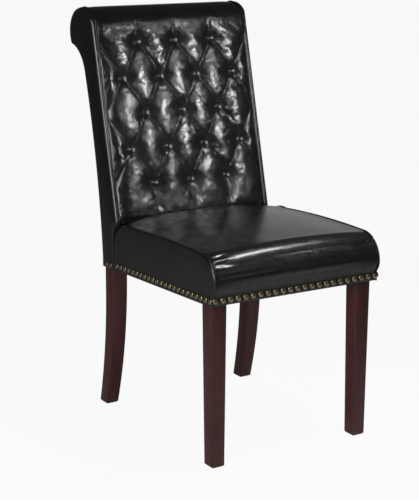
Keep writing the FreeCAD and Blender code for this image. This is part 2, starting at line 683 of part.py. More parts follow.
def make_roll_foam():
    """Foam core of the roll between the posts, cut out for the top rail and the first row's washers."""
    core = back_prism(-POST_INNER + GAP, POST_INNER - GAP, COVER + GAP)
    kept = block(-BEYOND, BEYOND, BACK_FRONT_LOW, DEPTH + BEYOND, ROLL_BASE, HEIGHT + BEYOND)
    core = core.common(kept).cut(behind_board())
    rail_space = block(-BEYOND, BEYOND, TOP_RAIL[0] - GAP, TOP_RAIL[1] + GAP, -RAIL_DEEP - GAP, 0)
    washer_space = block(-BEYOND, BEYOND, TOP_RAIL[1], -FIRST_ROW + 10, -BOARD_DEEP - 3, 0)
    return core.cut([on_back(rail_space), on_back(washer_space)])


def make_back_rail(low, high):
    """Cross rail between the posts, behind the board."""
    half = POST_INNER - GAP
    return on_back(block(-half, half, low, high, -RAIL_DEEP, -RAIL_SHALLOW))


def make_back_bottom_rail(bolt_holes):
    """Bottom rail between the legs' tongues, which the seat is bolted to."""
    half = REAR_LEG_OUTER - REAR_LEG_TOP[0] - GAP
    front, rear = [BACK_FRONT_LOW + depth for depth in BOTTOM_RAIL_DEPTH]
    return block(-half, half, front, rear, *BOTTOM_RAIL).cut(bolt_holes)


# Fasteners

def seat_bolt_axes():
    """Centres of the bolts between the seat's rear rail and the back's bottom rail."""
    return [(x, z) for x in BACK_BOLTS_X for z in BACK_BOLTS_Z]


def bolt_hole(start, direction, length):
    """Clearance hole for a bolt."""
    return bar(BOLT_RADIUS + BOLT_CLEARANCE, FLATS, start, direction, length)


def make_bolt(start, direction, length):
    """Bolt with a hexagon head at its start."""
    head = bar(BOLT_HEAD_RADIUS, 6, start, direction, BOLT_HEAD_HEIGHT)
    return head.fuse(bar(BOLT_RADIUS, FLATS, start, direction, length)).removeSplitter()


def make_washer(centre, direction, radius, thickness):
    """Flat washer round a bolt."""
    disc = bar(radius, FLATS, centre, direction, thickness)
    return disc.cut(bolt_hole(centre - direction * 5, direction, 20))


def rear_bolt_holes():
    """Clearance holes for the seat-to-back bolts."""
    backwards = V(0, 1, 0)
    return [bolt_hole(V(x, 400, z), backwards, 140) for x, z in seat_bolt_axes()]


def make_back_bolts():
    """Bolts from inside the seat frame into the back's bottom rail."""
    backwards = V(0, 1, 0)
    start = RAIL_REAR - RAIL - 7.5
    return Part.makeCompound([make_bolt(V(x, start, z), backwards, BACK_BOLT_LENGTH)
                              for x, z in seat_bolt_axes()])


def make_back_tee_nuts():
    """Tee nuts on the rear face of the back's bottom rail."""
    backwards = V(0, 1, 0)
    face = BACK_FRONT_LOW + BOTTOM_RAIL_DEPTH[1] + 0.05
    return Part.makeCompound([make_washer(V(x, face, z), backwards, TEE_NUT_RADIUS, TEE_NUT_HEIGHT)
                              for x, z in seat_bolt_axes()])


def corner_bolt(side):
    """Start and direction, in the seat's axes, of the bolt through a front corner block into the leg."""
    centre_x = RAIL_INNER - (RAIL_INNER - (FRONT_LEG_OUTER_TOP - FRONT_LEG_TOP[0])) / 2
    centre_y = (RAIL_FRONT + RAIL + FRONT_LEG_FACE + FRONT_LEG_TOP[1]) / 2
    inwards = V(-side, 1, 0).normalize()
    start = V(side * centre_x, centre_y, (BLOCK_LOW + BLOCK_HIGH) / 2)
    return start, inwards


def corner_bolt_holes():
    """Clearance holes for the two corner bolts."""
    holes = []
    for side in (-1, 1):
        start, inwards = corner_bolt(side)
        holes.append(seated(bolt_hole(start, inwards, 90)))
    return holes


def make_leg_bolts():
    """Hanger bolts from the front legs' heads through the corner blocks."""
    bolts = []
    for side in (-1, 1):
        start, inwards = corner_bolt(side)
        bolts.append(seated(bar(BOLT_RADIUS, FLATS, start, inwards, HANGER_BOLT_LENGTH)))
    return Part.makeCompound(bolts)


def make_leg_nuts():
    """Washers and hexagon nuts on the hanger bolts."""
    nuts = []
    for side in (-1, 1):
        start, inwards = corner_bolt(side)
        seat = block_far_face(start, inwards)
        nut = bar(LEG_NUT_RADIUS, 6, seat + inwards * 1.9, inwards, LEG_NUT_HEIGHT)
        nuts.append(seated(nut.cut(bolt_hole(start, inwards, 120))))
        nuts.append(seated(make_washer(seat + inwards * 0.3, inwards, LEG_WASHER_RADIUS, LEG_WASHER_HEIGHT)))
    return Part.makeCompound(nuts)


def block_far_face(start, inwards):
    """Where a corner bolt leaves the back of its corner block."""
    far = leg_head_corner() + BLOCK_CLEARANCE + FRONT_BLOCK_DEEP
    corner_x = RAIL_INNER
    corner_y = RAIL_FRONT + RAIL
    reached = (corner_x - abs(start.x)) + (start.y - corner_y)
    return start + inwards * ((far - reached) / math.sqrt(2) + 0.4)


def tongue_bolt_holes():
    """Holes for the bolts that clamp the rear legs' tongues to the posts."""
    return [bolt_hole(V(side * 170, TONGUE_BOLT_DEPTH, z), V(side, 0, 0), 60)
            for side in (-1, 1) for z in TONGUE_BOLTS_Z]


def make_tongue_bolts():
    """Bolts that clamp the rear legs' tongues to the posts."""
    inner = REAR_LEG_OUTER - REAR_LEG_TOP[0]
    bolts = []
    for side in (-1, 1):
        for z in TONGUE_BOLTS_Z:
            start = V(side * (inner - 5.2), TONGUE_BOLT_DEPTH, z)
            bolts.append(make_bolt(start, V(side, 0, 0), TONGUE_BOLT_LENGTH))
    return Part.makeCompound(bolts)


# Nail trim

def nail(place, outward):
    """Domed nail head seated on the cover."""
    head = dome(NAIL_RADIUS, NAIL_HEIGHT, V(0, 0, 0))
    head.Placement = FreeCAD.Placement(place, FreeCAD.Rotation(UP, outward))
    return head


def make_trim_nails():
    """Nails along the front, both sides of the seat and the foot of the back's side panels."""
    nails = []
    for index in range(NAIL_COUNT_FRONT):
        x = NAIL_PITCH_FRONT * (index - (NAIL_COUNT_FRONT - 1) / 2)
        nails.append(seated(nail(V(x, 0, NAIL_RISE), V(0, -1, 0))))
    side = []
    for index in range(NAIL_COUNT_SIDE):
        place = V(SEAT_HALF, NAIL_FIRST_SIDE + NAIL_PITCH_SIDE * index, NAIL_RISE)
        side.append(seated(nail(place, ACROSS)))
    side += [nail(V(BACK_HALF, depth, BACK_BOTTOM + NAIL_RISE), ACROSS) for depth in NAIL_DEPTHS_BACK]
    return Part.makeCompound(nails + both_sides(side))


def build_parts():
    """Every piece of the chair by its name."""
    back_clearance = back_prism(-BEYOND, BEYOND, 0.0).makeOffsetShape(0.6, 0.01)
    rear_holes = rear_bolt_holes()
    corner_holes = corner_bolt_holes()
    tongue_holes = tongue_bolt_holes()
    parts = {
        "seat_front_rail": make_front_rail(),
        "seat_rear_rail": make_rear_rail(rear_holes),
        "seat_side_rail_right": make_side_rail(),
        "corner_blocks": make_corner_blocks(corner_holes),
        "seat_webbing_long": make_long_webbing(),
        "seat_webbing_cross": make_cross_webbing(),
        "seat_deck_cloth": make_deck_cloth(),
        "seat_foam": make_seat_foam(back_clearance),
        "seat_cover": make_seat_cover(back_clearance).cut(rear_holes),
        "seat_side_panel_right": make_seat_side_panel(),
        "dust_cover": make_dust_cover(),
        "front_leg_right": make_front_leg(corner_holes),
        "rear_leg_right": make_rear_leg(tongue_holes),
        "floor_glides": make_floor_glides(),
        "back_post_right": make_back_post(tongue_holes),
        "back_bottom_rail": make_back_bottom_rail(rear_holes),
        "back_middle_rail": make_back_rail(*MIDDLE_RAIL),
        "back_top_rail": make_back_rail(*TOP_RAIL),
        "back_board": make_back_slab(FOAM_DEEP + 0.2, BOARD_DEEP, -6),
        "back_foam": make_back_slab(PAD + GAP, FOAM_DEEP, -4),
        "roll_foam": make_roll_foam(),
        "back_front_cover": make_back_front_cover(),
        "back_rear_cover": make_back_rear_cover(),
        "back_side_panel_right": make_back_side_panel(),
        "tufting_buttons": make_tufting_buttons(),
        "tufting_twine": make_tufting_twine(),
        "tufting_washers": make_tufting_washers(),
        "back_bolts": make_back_bolts(),
        "back_tee_nuts": make_back_tee_nuts(),
        "leg_bolts": make_leg_bolts(),
        "leg_nuts": make_leg_nuts(),
        "tongue_bolts": make_tongue_bolts(),
        "trim_nails": make_trim_nails(),
    }
    for name in [name for name in parts if name.endswith("_right")]:
        parts[name.replace("_right", "_left")] = mirrored(parts[name])
    return parts


os.makedirs("parts", exist_ok=True)
for name, shape in build_parts().items():
    placed = shape.translated(V(0, SEAT_BULGE - DEPTH / 2, 0))
    placed.exportStep("parts/" + name + ".step")
    print(name, len(placed.Solids), placed.isValid(), round(placed.Volume))
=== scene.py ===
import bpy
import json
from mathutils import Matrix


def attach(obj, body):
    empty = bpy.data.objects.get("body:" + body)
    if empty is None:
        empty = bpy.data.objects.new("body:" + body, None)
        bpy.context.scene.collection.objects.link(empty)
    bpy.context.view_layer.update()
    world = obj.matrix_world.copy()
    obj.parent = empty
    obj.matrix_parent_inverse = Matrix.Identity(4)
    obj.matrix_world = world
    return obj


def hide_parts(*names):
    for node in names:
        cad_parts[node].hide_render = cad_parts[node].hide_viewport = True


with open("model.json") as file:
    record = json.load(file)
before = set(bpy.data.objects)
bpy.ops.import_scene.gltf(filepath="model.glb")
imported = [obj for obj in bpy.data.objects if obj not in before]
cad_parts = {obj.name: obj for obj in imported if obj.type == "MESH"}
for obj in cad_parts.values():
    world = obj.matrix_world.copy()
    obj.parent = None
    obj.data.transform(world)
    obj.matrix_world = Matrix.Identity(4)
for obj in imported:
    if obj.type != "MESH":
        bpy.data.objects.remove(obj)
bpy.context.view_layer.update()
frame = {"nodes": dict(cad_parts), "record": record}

# A parsons chair: tufted scroll back, padded boxed seat, nail trim and four wooden legs.
# Metres, +Z up, the sitter faces -Y, the origin is on the floor under the chair's middle.

import json
import logging
import math
from dataclasses import dataclass, field
from enum import Enum
from typing import Iterable, Optional, Sequence

import bmesh
import bpy
import numpy as np
from mathutils import Vector

log = logging.getLogger("chair")
MM = 0.001
DEPTH_TO_Y = -0.33925
BODY = "root"
SETTLING_STEPS = 20
HELD = "held"
LEAST_HOLD = 0.01
MERGE_DISTANCE = 1e-6
OCTAVES = 3

Pair = tuple[float, float]
Triple = tuple[float, float, float]
Colour = Triple


# Meshes

def mesh_object(name: str, points: np.ndarray, faces: Sequence[Sequence[int]]) -> bpy.types.Object:
    """Make a smooth-shaded object from points and faces.

    Args:
        name: The object's name.
        points: Vertex places, one row each.
        faces: Vertex numbers of each face.

    Returns:
        The new object, linked to the scene.
    """
    mesh = bpy.data.meshes.new(name)
    mesh.from_pydata([tuple(map(float, point)) for point in points], [], [tuple(face) for face in faces])
    mesh.validate()
    mesh.update()
    shade_smooth(mesh)
    return linked(name, mesh)


def linked(name: str, data: bpy.types.ID) -> bpy.types.Object:
    """Make an object of some data and link it to the scene.

    Args:
        name: The object's name.
        data: Its mesh, lamp or camera.

    Returns:
        The new object.
    """
    made = bpy.data.objects.new(name, data)
    bpy.context.scene.collection.objects.link(made)
    return made


def shade_smooth(mesh: bpy.types.Mesh) -> None:
    """Shade every face of a mesh smooth."""
    for polygon in mesh.polygons:
        polygon.use_smooth = True


def face_outwards(piece: bpy.types.Object) -> None:
    """Merge doubled points and turn every face outwards.

    Args:
        piece: The object whose mesh is mended.
    """
    shape = bmesh.new()
    shape.from_mesh(piece.data)
    bmesh.ops.remove_doubles(shape, verts=shape.verts, dist=MERGE_DISTANCE)
    bmesh.ops.recalc_face_normals(shape, faces=shape.faces)
    shape.to_mesh(piece.data)
    shape.free()


def grid_faces(rows: int, columns: int, closed: bool = False) -> list[tuple[int, int, int, int]]:
    """Faces of a grid of points.

    Args:
        rows: Number of rows of points.
        columns: Points in a row.
        closed: Whether each row's last point joins its first.

    Returns:
        Four vertex numbers for each face.
    """
    faces = []
    spans = columns if closed else columns - 1
    for row in range(rows - 1):
        for column in range(spans):
            after = (column + 1) % columns
            faces.append((row * columns + column, row * columns + after,
                          (row + 1) * columns + after, (row + 1) * columns + column))
    return faces


def ring_form(name: str, rings: Sequence[np.ndarray], side: int = 1) -> bpy.types.Object:
    """Skin a closed form over rings of points and cap its two ends.

    Args:
        name: The object's name.
        rings: Closed rings with the same number of points.
        side: -1 to mirror the form to the left, 1 to leave it.

    Returns:
        The form, with its faces outwards.
    """
    points = np.concatenate(rings)
    points[:, 0] *= side
    count = len(rings[0])
    faces = grid_faces(len(rings), count, closed=True)
    faces.append(tuple(range(count)))
    faces.append(tuple((len(rings) - 1) * count + index for index in range(count)))
    form = mesh_object(name, points, faces)
    face_outwards(form)
    return form


def arc_through(start: Pair, middle: Pair, end: Pair, count: int) -> np.ndarray:
    """Points along the arc through three places.

    Args:
        start: First place.
        middle: A place on the arc.
        end: Last place.
        count: How many points, both ends included.

    Returns:
        The points, one row each.
    """
    (ax, ay), (bx, by), (cx, cy) = start, middle, end
    turn = 2 * (ax * (by - cy) + bx * (cy - ay) + cx * (ay - by))
    share = np.linspace(0, 1, count)[:, None]
    if abs(turn) < 1e-12:
        return np.array(start) * (1 - share) + np.array(end) * share
    squares = [x * x + y * y for x, y in (start, middle, end)]
    ox = (squares[0] * (by - cy) + squares[1] * (cy - ay) + squares[2] * (ay - by)) / turn
    oy = (squares[0] * (cx - bx) + squares[1] * (ax - cx) + squares[2] * (bx - ax)) / turn
    radius = math.hypot(ax - ox, ay - oy)
    angles = [math.atan2(y - oy, x - ox) for x, y in (start, middle, end)]
    sweep = (angles[2] - angles[0]) % (2 * math.pi)
    if (angles[1] - angles[0]) % (2 * math.pi) > sweep:
        sweep -= 2 * math.pi
    turns = angles[0] + share[:, 0] * sweep
    return np.stack([ox + radius * np.cos(turns), oy + radius * np.sin(turns)], axis=1)


def line_through(start: Pair, end: Pair, count: int) -> np.ndarray:
    """Evenly spaced points along a straight line, both ends included."""
    share = np.linspace(0, 1, count)[:, None]
    return np.array(start) * (1 - share) + np.array(end) * share


def ripple(x: np.ndarray, y: np.ndarray, size: float, seed: int) -> np.ndarray:
    """Smooth uneven waves with no direction of their own.

    Args:
        x: First place of each point.
        y: Second place of each point.
        size: Length of the longest waves.
        seed: Number that fixes the pattern.

    Returns:
        Heights of about -1 to 1.
    """
    chance = np.random.default_rng(seed)
    total = np.zeros_like(x)
    weight = 1.0
    for octave in range(OCTAVES):
        for _ in range(5):
            turn = chance.uniform(0, 2 * math.pi)
            length = size / 2 ** octave * chance.uniform(0.7, 1.4)
            phase = chance.uniform(0, 2 * math.pi)
            along = x * math.cos(turn) + y * math.sin(turn)
            total += weight * np.sin(2 * math.pi * along / length + phase) / 5
        weight *= 0.5
    return total


def smooth_step(low: float, high: float, value: np.ndarray) -> np.ndarray:
    """Rise smoothly from 0 at the low value to 1 at the high one."""
    share = np.clip((value - low) / (high - low), 0, 1)
    return share * share * (3 - 2 * share)


def named_input(node: bpy.types.Node, name: str) -> bpy.types.NodeSocket:
    """Input of a node by name, with underscores for spaces, or by number after "i".

    Args:
        node: The node.
        name: The input's name or number.

    Returns:
        The input's socket.
    """
    if name[0] == "i" and name[1:].isdigit():
        return node.inputs[int(name[1:])]
    return node.inputs[name.replace("_", " ")]


# Shader nodes

class Socket:
    """A shader socket that takes Python's arithmetic."""

    def __init__(self, sheet: "NodeSheet", socket: bpy.types.NodeSocket) -> None:
        """Wrap one output socket of a sheet of nodes."""
        self.sheet = sheet
        self.socket = socket

    def __add__(self, other: "Socket | float") -> "Socket":
        """Sum of the two values."""
        return self.sheet.maths("ADD", self, other)

    __radd__ = __add__

    def __mul__(self, other: "Socket | float") -> "Socket":
        """Product of the two values."""
        return self.sheet.maths("MULTIPLY", self, other)

    __rmul__ = __mul__

    def __sub__(self, other: "Socket | float") -> "Socket":
        """This value less the other."""
        return self.sheet.maths("SUBTRACT", self, other)

    def __rsub__(self, other: "Socket | float") -> "Socket":
        """The other value less this."""
        return self.sheet.maths("SUBTRACT", other, self)

    def __pow__(self, other: "Socket | float") -> "Socket":
        """This value to a power."""
        return self.sheet.maths("POWER", self, other)

    def held(self) -> "Socket":
        """The value kept between 0 and 1."""
        return self.sheet.maths("MINIMUM", self.sheet.maths("MAXIMUM", self, 0.0), 1.0)


class NodeSheet:
    """The nodes of one material, added a call at a time."""

    def __init__(self, name: str) -> None:
        """Start a material with one principled shader.

        Args:
            name: The material's name.
        """
        self.material = bpy.data.materials.new(name)
        self.material.use_nodes = True
        self.tree = self.material.node_tree
        self.tree.nodes.clear()
        self.output = self.tree.nodes.new("ShaderNodeOutputMaterial")
        self.shader = self.tree.nodes.new("ShaderNodeBsdfPrincipled")
        self.tree.links.new(self.shader.outputs[0], self.output.inputs[0])

    def node(self, kind: str, settings: Optional[dict] = None, out: int | str = 0,
             **inputs: object) -> Socket:
        """Add a node.

        Args:
            kind: The node's type.
            settings: Properties that are set before the inputs; "stops" fills a colour ramp.
            out: Which output is wanted.
            **inputs: Values or sockets, named as named_input takes them.

        Returns:
            The chosen output.
        """
        node = self.tree.nodes.new(kind)
        for name, value in (settings or {}).items():
            if name == "stops":
                self.fill_ramp(node.color_ramp, value)
            else:
                setattr(node, name, value)
        for name, value in inputs.items():
            self.feed(named_input(node, name), value)
        return Socket(self, node.outputs[out])

    @staticmethod
    def fill_ramp(ramp: bpy.types.ColorRamp, stops: Sequence[tuple[float, Colour]]) -> None:
        """Set a colour ramp's stops from pairs of place and colour.

        Args:
            ramp: The ramp.
            stops: Place and colour of each stop.
        """
        while len(ramp.elements) < len(stops):
            ramp.elements.new(1.0)
        for element, (place, colour) in zip(ramp.elements, stops):
            element.position = place
            element.color = (*colour, 1.0)

    def feed(self, socket: bpy.types.NodeSocket, value: object) -> None:
        """Link a socket or set its value.

        Args:
            socket: The input to feed.
            value: A socket, a colour or a number.
        """
        if isinstance(value, Socket):
            self.tree.links.new(value.socket, socket)
        elif isinstance(value, tuple) and len(value) == 3 and socket.type == "RGBA":
            socket.default_value = (*value, 1.0)
        else:
            socket.default_value = value

    def maths(self, operation: str, first: Socket | float, second: Socket | float = 0.0) -> Socket:
        """Add one Math node."""
        return self.node("ShaderNodeMath", {"operation": operation}, i0=first, i1=second)

    def place(self) -> Socket:
        """Object coordinates of the piece."""
        return self.node("ShaderNodeTexCoord", out="Object")

    def stretched(self, scale: Triple) -> Socket:
        """Object coordinates stretched along the axes."""
        return self.node("ShaderNodeMapping", Vector=self.place(), Scale=scale)

    def noise(self, scale: float, detail: float = 3.0, rough: float = 0.5,
              where: Optional[Socket] = None) -> Socket:
        """Noise between 0 and 1."""
        return self.node("ShaderNodeTexNoise", Vector=where or self.place(), Scale=scale, Detail=detail,
                         Roughness=rough)

    def cells(self, scale: float) -> Socket:
        """Distances in a pattern of cells."""
        return self.node("ShaderNodeTexVoronoi", {"feature": "F1"}, Vector=self.place(), Scale=scale,
                         out="Distance")

    def waves(self, axis: str, scale: float) -> Socket:
        """Slightly uneven bands across an axis."""
        return self.node("ShaderNodeTexWave", {"bands_direction": axis}, Vector=self.place(), Scale=scale,
                         Distortion=0.6, out=1)

    def ramp(self, value: Socket, *stops: tuple[float, Colour]) -> Socket:
        """Colour chosen by a value."""
        return self.node("ShaderNodeValToRGB", {"stops": stops}, Fac=value)

    def mixed(self, share: Socket | float, first: Socket | tuple, second: Socket | tuple) -> Socket:
        """Blend of two colours."""
        return self.node("ShaderNodeMix", {"data_type": "RGBA"}, out=2, i0=share, i6=first, i7=second)

    def bump(self, height: Socket, distance: float, strength: float = 1.0,
             under: Optional[Socket] = None) -> Socket:
        """Surface relief from a height, on top of another relief if one is given."""
        extra = {"Normal": under} if under else {}
        return self.node("ShaderNodeBump", Height=height, Distance=distance, Strength=strength, **extra)

    def dress(self, **values: object) -> bpy.types.Material:
        """Feed the shader's inputs and give the material.

        Args:
            **values: Values or sockets by input name.

        Returns:
            The material.
        """
        for name, value in values.items():
            self.feed(named_input(self.shader, name), value)
        return self.material


# Finishes

@dataclass(frozen=True)
class Leather:
    """Black coated leather with pebble grain, fine creases and a soft gloss."""

    name: str = "black_leather"
    colour: Colour = (0.0062, 0.0062, 0.0065)
    worn: Colour = (0.014, 0.0138, 0.0135)
    gloss: float = 0.24
    grain: float = 1150.0
    grain_depth: float = 0.00008
    crease_scale: float = 92.0
    crease_sharpness: float = 40.0
    crease_depth: float = 0.00030
    coat: float = 0.30
    coat_roughness: float = 0.16
    refraction: float = 1.45

    def build(self) -> bpy.types.Material:
        """Make the material.

        Returns:
            The material.
        """
        sheet = NodeSheet(self.name)
        pebble = sheet.cells(self.grain)
        pores = sheet.noise(self.grain * 1.6, 2.0)
        crease = 1.0 - (sheet.noise(self.crease_scale, 5.0, 0.62) - 0.5) ** 2.0 * self.crease_sharpness
        crease = crease.held()
        patches = sheet.noise(16.0, 3.0)
        relief = sheet.bump(pebble * 0.75 + pores * 0.25, self.grain_depth)
        relief = sheet.bump(crease, self.crease_depth, 0.28, relief)
        colour = sheet.mixed((patches - 0.35).held() * 0.8, self.colour, self.worn)
        rough = patches * 0.13 + pebble * 0.10 + (self.gloss - 0.08)
        return sheet.dress(Base_Color=colour, Roughness=rough, Normal=relief, Coat_Weight=self.coat,
                           Coat_Roughness=self.coat_roughness, IOR=self.refraction)


@dataclass(frozen=True)
class Wood:
    """Wood with grain along the piece's height or width."""

    name: str
    dark: Colour
    light: Colour
    stretch: Triple
    roughness: float
    coat: float = 0.0
    fibre_depth: float = 0.00012

    def build(self) -> bpy.types.Material:
        """Make the material.

        Returns:
            The material.
        """
        sheet = NodeSheet(self.name)
        along = sheet.stretched(self.stretch)
        figure = sheet.noise(7.0, 4.0, 0.55, along)
        fibre = sheet.noise(60.0, 3.0, 0.6, along)
        tone = (figure * 0.65 + fibre * 0.35)
        colour = sheet.ramp(tone, (0.32, self.dark), (0.70, self.light))
        relief = sheet.bump(fibre, self.fibre_depth, 0.35)
        rough = fibre * 0.16 + (self.roughness - 0.08)
        return sheet.dress(Base_Color=colour, Roughness=rough, Normal=relief, Coat_Weight=self.coat,
                           Coat_Roughness=0.2)


@dataclass(frozen=True)
class AgedBrass:
    """Antique brass, bright at the crown and nearly black towards the rim."""

    name: str = "antique_brass"
    bright: Colour = (0.42, 0.35, 0.22)
    dark: Colour = (0.016, 0.014, 0.010)
    rim_power: float = 6.0
    stain_depth: float = 0.00012

    def build(self) -> bpy.types.Material:
        """Make the material.

        Returns:
            The material.
        """
        sheet = NodeSheet(self.name)
        rim = sheet.node("ShaderNodeAttribute", {"attribute_name": "rim"}, out="Fac")
        stain = sheet.noise(420.0, 3.0)
        # The base colour darkens towards each head's rim, with uneven stains over it.
        share = (rim ** self.rim_power * 0.95 + (stain - 0.5) * 0.7).held()
        colour = sheet.mixed(share, self.bright, self.dark)
        relief = sheet.bump(stain, self.stain_depth, 0.4)
        return sheet.dress(Base_Color=colour, Metallic=1.0, Roughness=share * 0.2 + 0.27, Normal=relief)


@dataclass(frozen=True)
class Woven:
    """Plain cloth, webbing or thread with a fine weave."""

    name: str
    dark: Colour
    light: Colour
    threads: float
    roughness: float = 0.85
    weave_depth: float = 0.0003

    def build(self) -> bpy.types.Material:
        """Make the material.

        Returns:
            The material.
        """
        sheet = NodeSheet(self.name)
        weave = (sheet.waves("X", self.threads) + sheet.waves("Y", self.threads)) * 0.5
        fluff = sheet.noise(240.0, 3.0)
        colour = sheet.mixed((weave * 0.7 + fluff * 0.5 - 0.1).held(), self.dark, self.light)
        return sheet.dress(Base_Color=colour, Roughness=fluff * 0.1 + (self.roughness - 0.05),
                           Normal=sheet.bump(weave, self.weave_depth, 0.6))


@dataclass(frozen=True)
class Speckled:
    """Foam, plated steel or nylon: an even surface with a fine uneven tone."""

    name: str
    dark: Colour
    light: Colour
    scale: float
    roughness: float
    metallic: float = 0.0
    pit_depth: float = 0.0002

    def build(self) -> bpy.types.Material:
        """Make the material.

        Returns:
            The material.
        """
        sheet = NodeSheet(self.name)
        fine = sheet.noise(self.scale, 4.0)
        colour = sheet.ramp(fine, (0.35, self.dark), (0.65, self.light))
        rough = fine * 0.2 + (self.roughness - 0.1)
        return sheet.dress(Base_Color=colour, Metallic=self.metallic, Roughness=rough,
                           Normal=sheet.bump(fine, self.pit_depth, 0.5))


class Finish(Enum):
    """The finishes of the chair, each with the record's slot that it stands for."""

    LEATHER = ("leather", Leather())
    LEG_WOOD = ("leg_wood", Wood("mahogany_stain", (0.030, 0.0062, 0.0060), (0.080, 0.0150, 0.0120),
                                 (9.0, 9.0, 0.9), 0.40, 0.12))
    BRASS = ("nail_brass", AgedBrass())
    FRAME_WOOD = ("frame_wood", Wood("raw_hardwood", (0.36, 0.22, 0.11), (0.56, 0.39, 0.22),
                                     (0.8, 9.0, 9.0), 0.62))
    FOAM = ("foam", Speckled("cream_foam", (0.62, 0.54, 0.36), (0.80, 0.73, 0.54), 900.0, 0.9))
    WEBBING = ("webbing", Woven("jute_webbing", (0.24, 0.16, 0.08), (0.45, 0.33, 0.19), 260.0))
    DARK_CLOTH = ("dark_cloth", Woven("black_nonwoven", (0.010, 0.010, 0.011), (0.028, 0.028, 0.030), 380.0))
    TWINE = ("twine", Woven("waxed_twine", (0.48, 0.42, 0.32), (0.70, 0.65, 0.54), 700.0, 0.6))
    STEEL = ("steel", Speckled("zinc_plate", (0.42, 0.42, 0.43), (0.60, 0.60, 0.61), 300.0, 0.38, 1.0))
    NYLON = ("glide_plastic", Speckled("dark_nylon", (0.020, 0.018, 0.016), (0.036, 0.033, 0.030),
                                       500.0, 0.5))
    THREAD = ("leather", Woven("black_thread", (0.006, 0.006, 0.006), (0.022, 0.022, 0.022), 1500.0, 0.55))

    @property
    def slot(self) -> str:
        """The record's material slot."""
        return self.value[0]

    @property
    def material(self) -> bpy.types.Material:
        """The material, made on first use."""
        finish = self.value[1]
        return bpy.data.materials.get(finish.name) or finish.build()


def settle(piece: bpy.types.Object, finish: Finish, replaced: Iterable[str] = ()) -> None:
    """Give a piece its finish and body, and hide the CAD nodes that it stands for.

    Args:
        piece: The finished object.
        finish: Its finish.
        replaced: CAD nodes that it stands for.
    """
    if not piece.data.materials:
        piece.data.materials.append(finish.material)
    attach(piece, BODY)
    nodes = list(replaced)
    if nodes:
        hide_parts(*nodes)
    log.info("%s: %d faces", piece.name, len(piece.data.polygons))


# Geometry Nodes

class GrowingTree:
    """A Geometry Nodes tree that is built in the script and run once on a piece."""

    def __init__(self, name: str) -> None:
        """Start a tree that takes and gives a geometry.

        Args:
            name: The tree's name.
        """
        self.tree = bpy.data.node_groups.new(name, "GeometryNodeTree")
        self.sockets = {}
        self.tree.interface.new_socket(name="Geometry", in_out="INPUT", socket_type="NodeSocketGeometry")
        self.tree.interface.new_socket(name="Geometry", in_out="OUTPUT", socket_type="NodeSocketGeometry")
        self.start = self.tree.nodes.new("NodeGroupInput")
        self.end = self.tree.nodes.new("NodeGroupOutput")

    def size(self, name: str, value: float) -> bpy.types.NodeSocket:
        """Add a named size to the tree's inputs and give its socket.

        Args:
            name: The size's name.
            value: Its value in metres.

        Returns:
            The socket that carries it.
        """
        made = self.tree.interface.new_socket(name=name, in_out="INPUT", socket_type="NodeSocketFloat")
        made.default_value = value
        self.sockets[name] = (made.identifier, value)
        return self.start.outputs[name]

    def node(self, kind: str, settings: Optional[dict] = None, **inputs: object) -> bpy.types.Node:
        """Add a node.

        Args:
            kind: The node's type.
            settings: Properties that are set before the inputs.
            **inputs: Values or sockets, named as named_input takes them.

        Returns:
            The node.
        """
        node = self.tree.nodes.new(kind)
        for name, value in (settings or {}).items():
            setattr(node, name, value)
        for name, value in inputs.items():
            socket = named_input(node, name)
            if isinstance(value, bpy.types.NodeSocket):
                self.tree.links.new(value, socket)
            else:
                socket.default_value = value
        return node

    def maths(self, operation: str, *values: object) -> bpy.types.NodeSocket:
        """Add one Math node and give its output."""
        inputs = {f"i{index}": value for index, value in enumerate(values)}
        return self.node("ShaderNodeMath", {"operation": operation}, **inputs).outputs[0]

    def unit_ball(self, segments: int, rings: int) -> bpy.types.NodeSocket:
        """Add a ball one metre in radius."""
        return self.node("GeometryNodeMeshUVSphere", Segments=segments, Rings=rings, Radius=1.0).outputs[0]

    def scaled(self, shape: bpy.types.NodeSocket, across: bpy.types.NodeSocket,
               up: bpy.types.NodeSocket) -> bpy.types.NodeSocket:
        """Scale a shape evenly across and by its own size up."""
        scale = self.node("ShaderNodeCombineXYZ", X=across, Y=across, Z=up)
        return self.node("GeometryNodeTransform", Geometry=shape, Scale=scale.outputs[0]).outputs[0]

    def copies(self, points: bpy.types.NodeSocket, shape: bpy.types.NodeSocket,
               facing: bpy.types.NodeSocket) -> bpy.types.NodeSocket:
        """Set a shape on each point, with its top turned the way that the point faces.

        Args:
            points: The points.
            shape: The shape that is copied.
            facing: Which way each point faces.

        Returns:
            All the copies.
        """
        turn = self.node("FunctionNodeAlignRotationToVector", {"axis": "Z"}, Vector=facing)
        return self.node("GeometryNodeInstanceOnPoints", Points=points, Instance=shape,
                         Rotation=turn.outputs[0]).outputs[0]

    def marked_copies(self, shape: bpy.types.NodeSocket) -> bpy.types.NodeSocket:
        """Set a shape on each marked point that the tree is run on."""
        facing = self.node("GeometryNodeInputNamedAttribute", {"data_type": "FLOAT_VECTOR"}, Name="facing")
        return self.copies(self.start.outputs[0], shape, facing.outputs[0])

    def run(self, piece: bpy.types.Object, geometry: bpy.types.NodeSocket,
            finish: Finish) -> bpy.types.Object:
        """Finish the tree, run it on a piece and turn the result into a plain mesh.

        Args:
            piece: The object that carries the points or lines.
            geometry: The last geometry of the tree.
            finish: The finish that the tree sets.

        Returns:
            The same object with its new mesh.
        """
        real = self.node("GeometryNodeRealizeInstances", Geometry=geometry)
        done = self.node("GeometryNodeSetMaterial", Geometry=real.outputs[0], Material=finish.material)
        self.tree.links.new(done.outputs[0], self.end.inputs[0])
        modifier = piece.modifiers.new(self.tree.name, "NODES")
        modifier.node_group = self.tree
        for identifier, value in self.sockets.values():
            modifier[identifier] = value
        view = bpy.context.evaluated_depsgraph_get()
        made = bpy.data.meshes.new_from_object(piece.evaluated_get(view))
        piece.modifiers.remove(modifier)
        piece.data = made
        shade_smooth(made)
        return piece


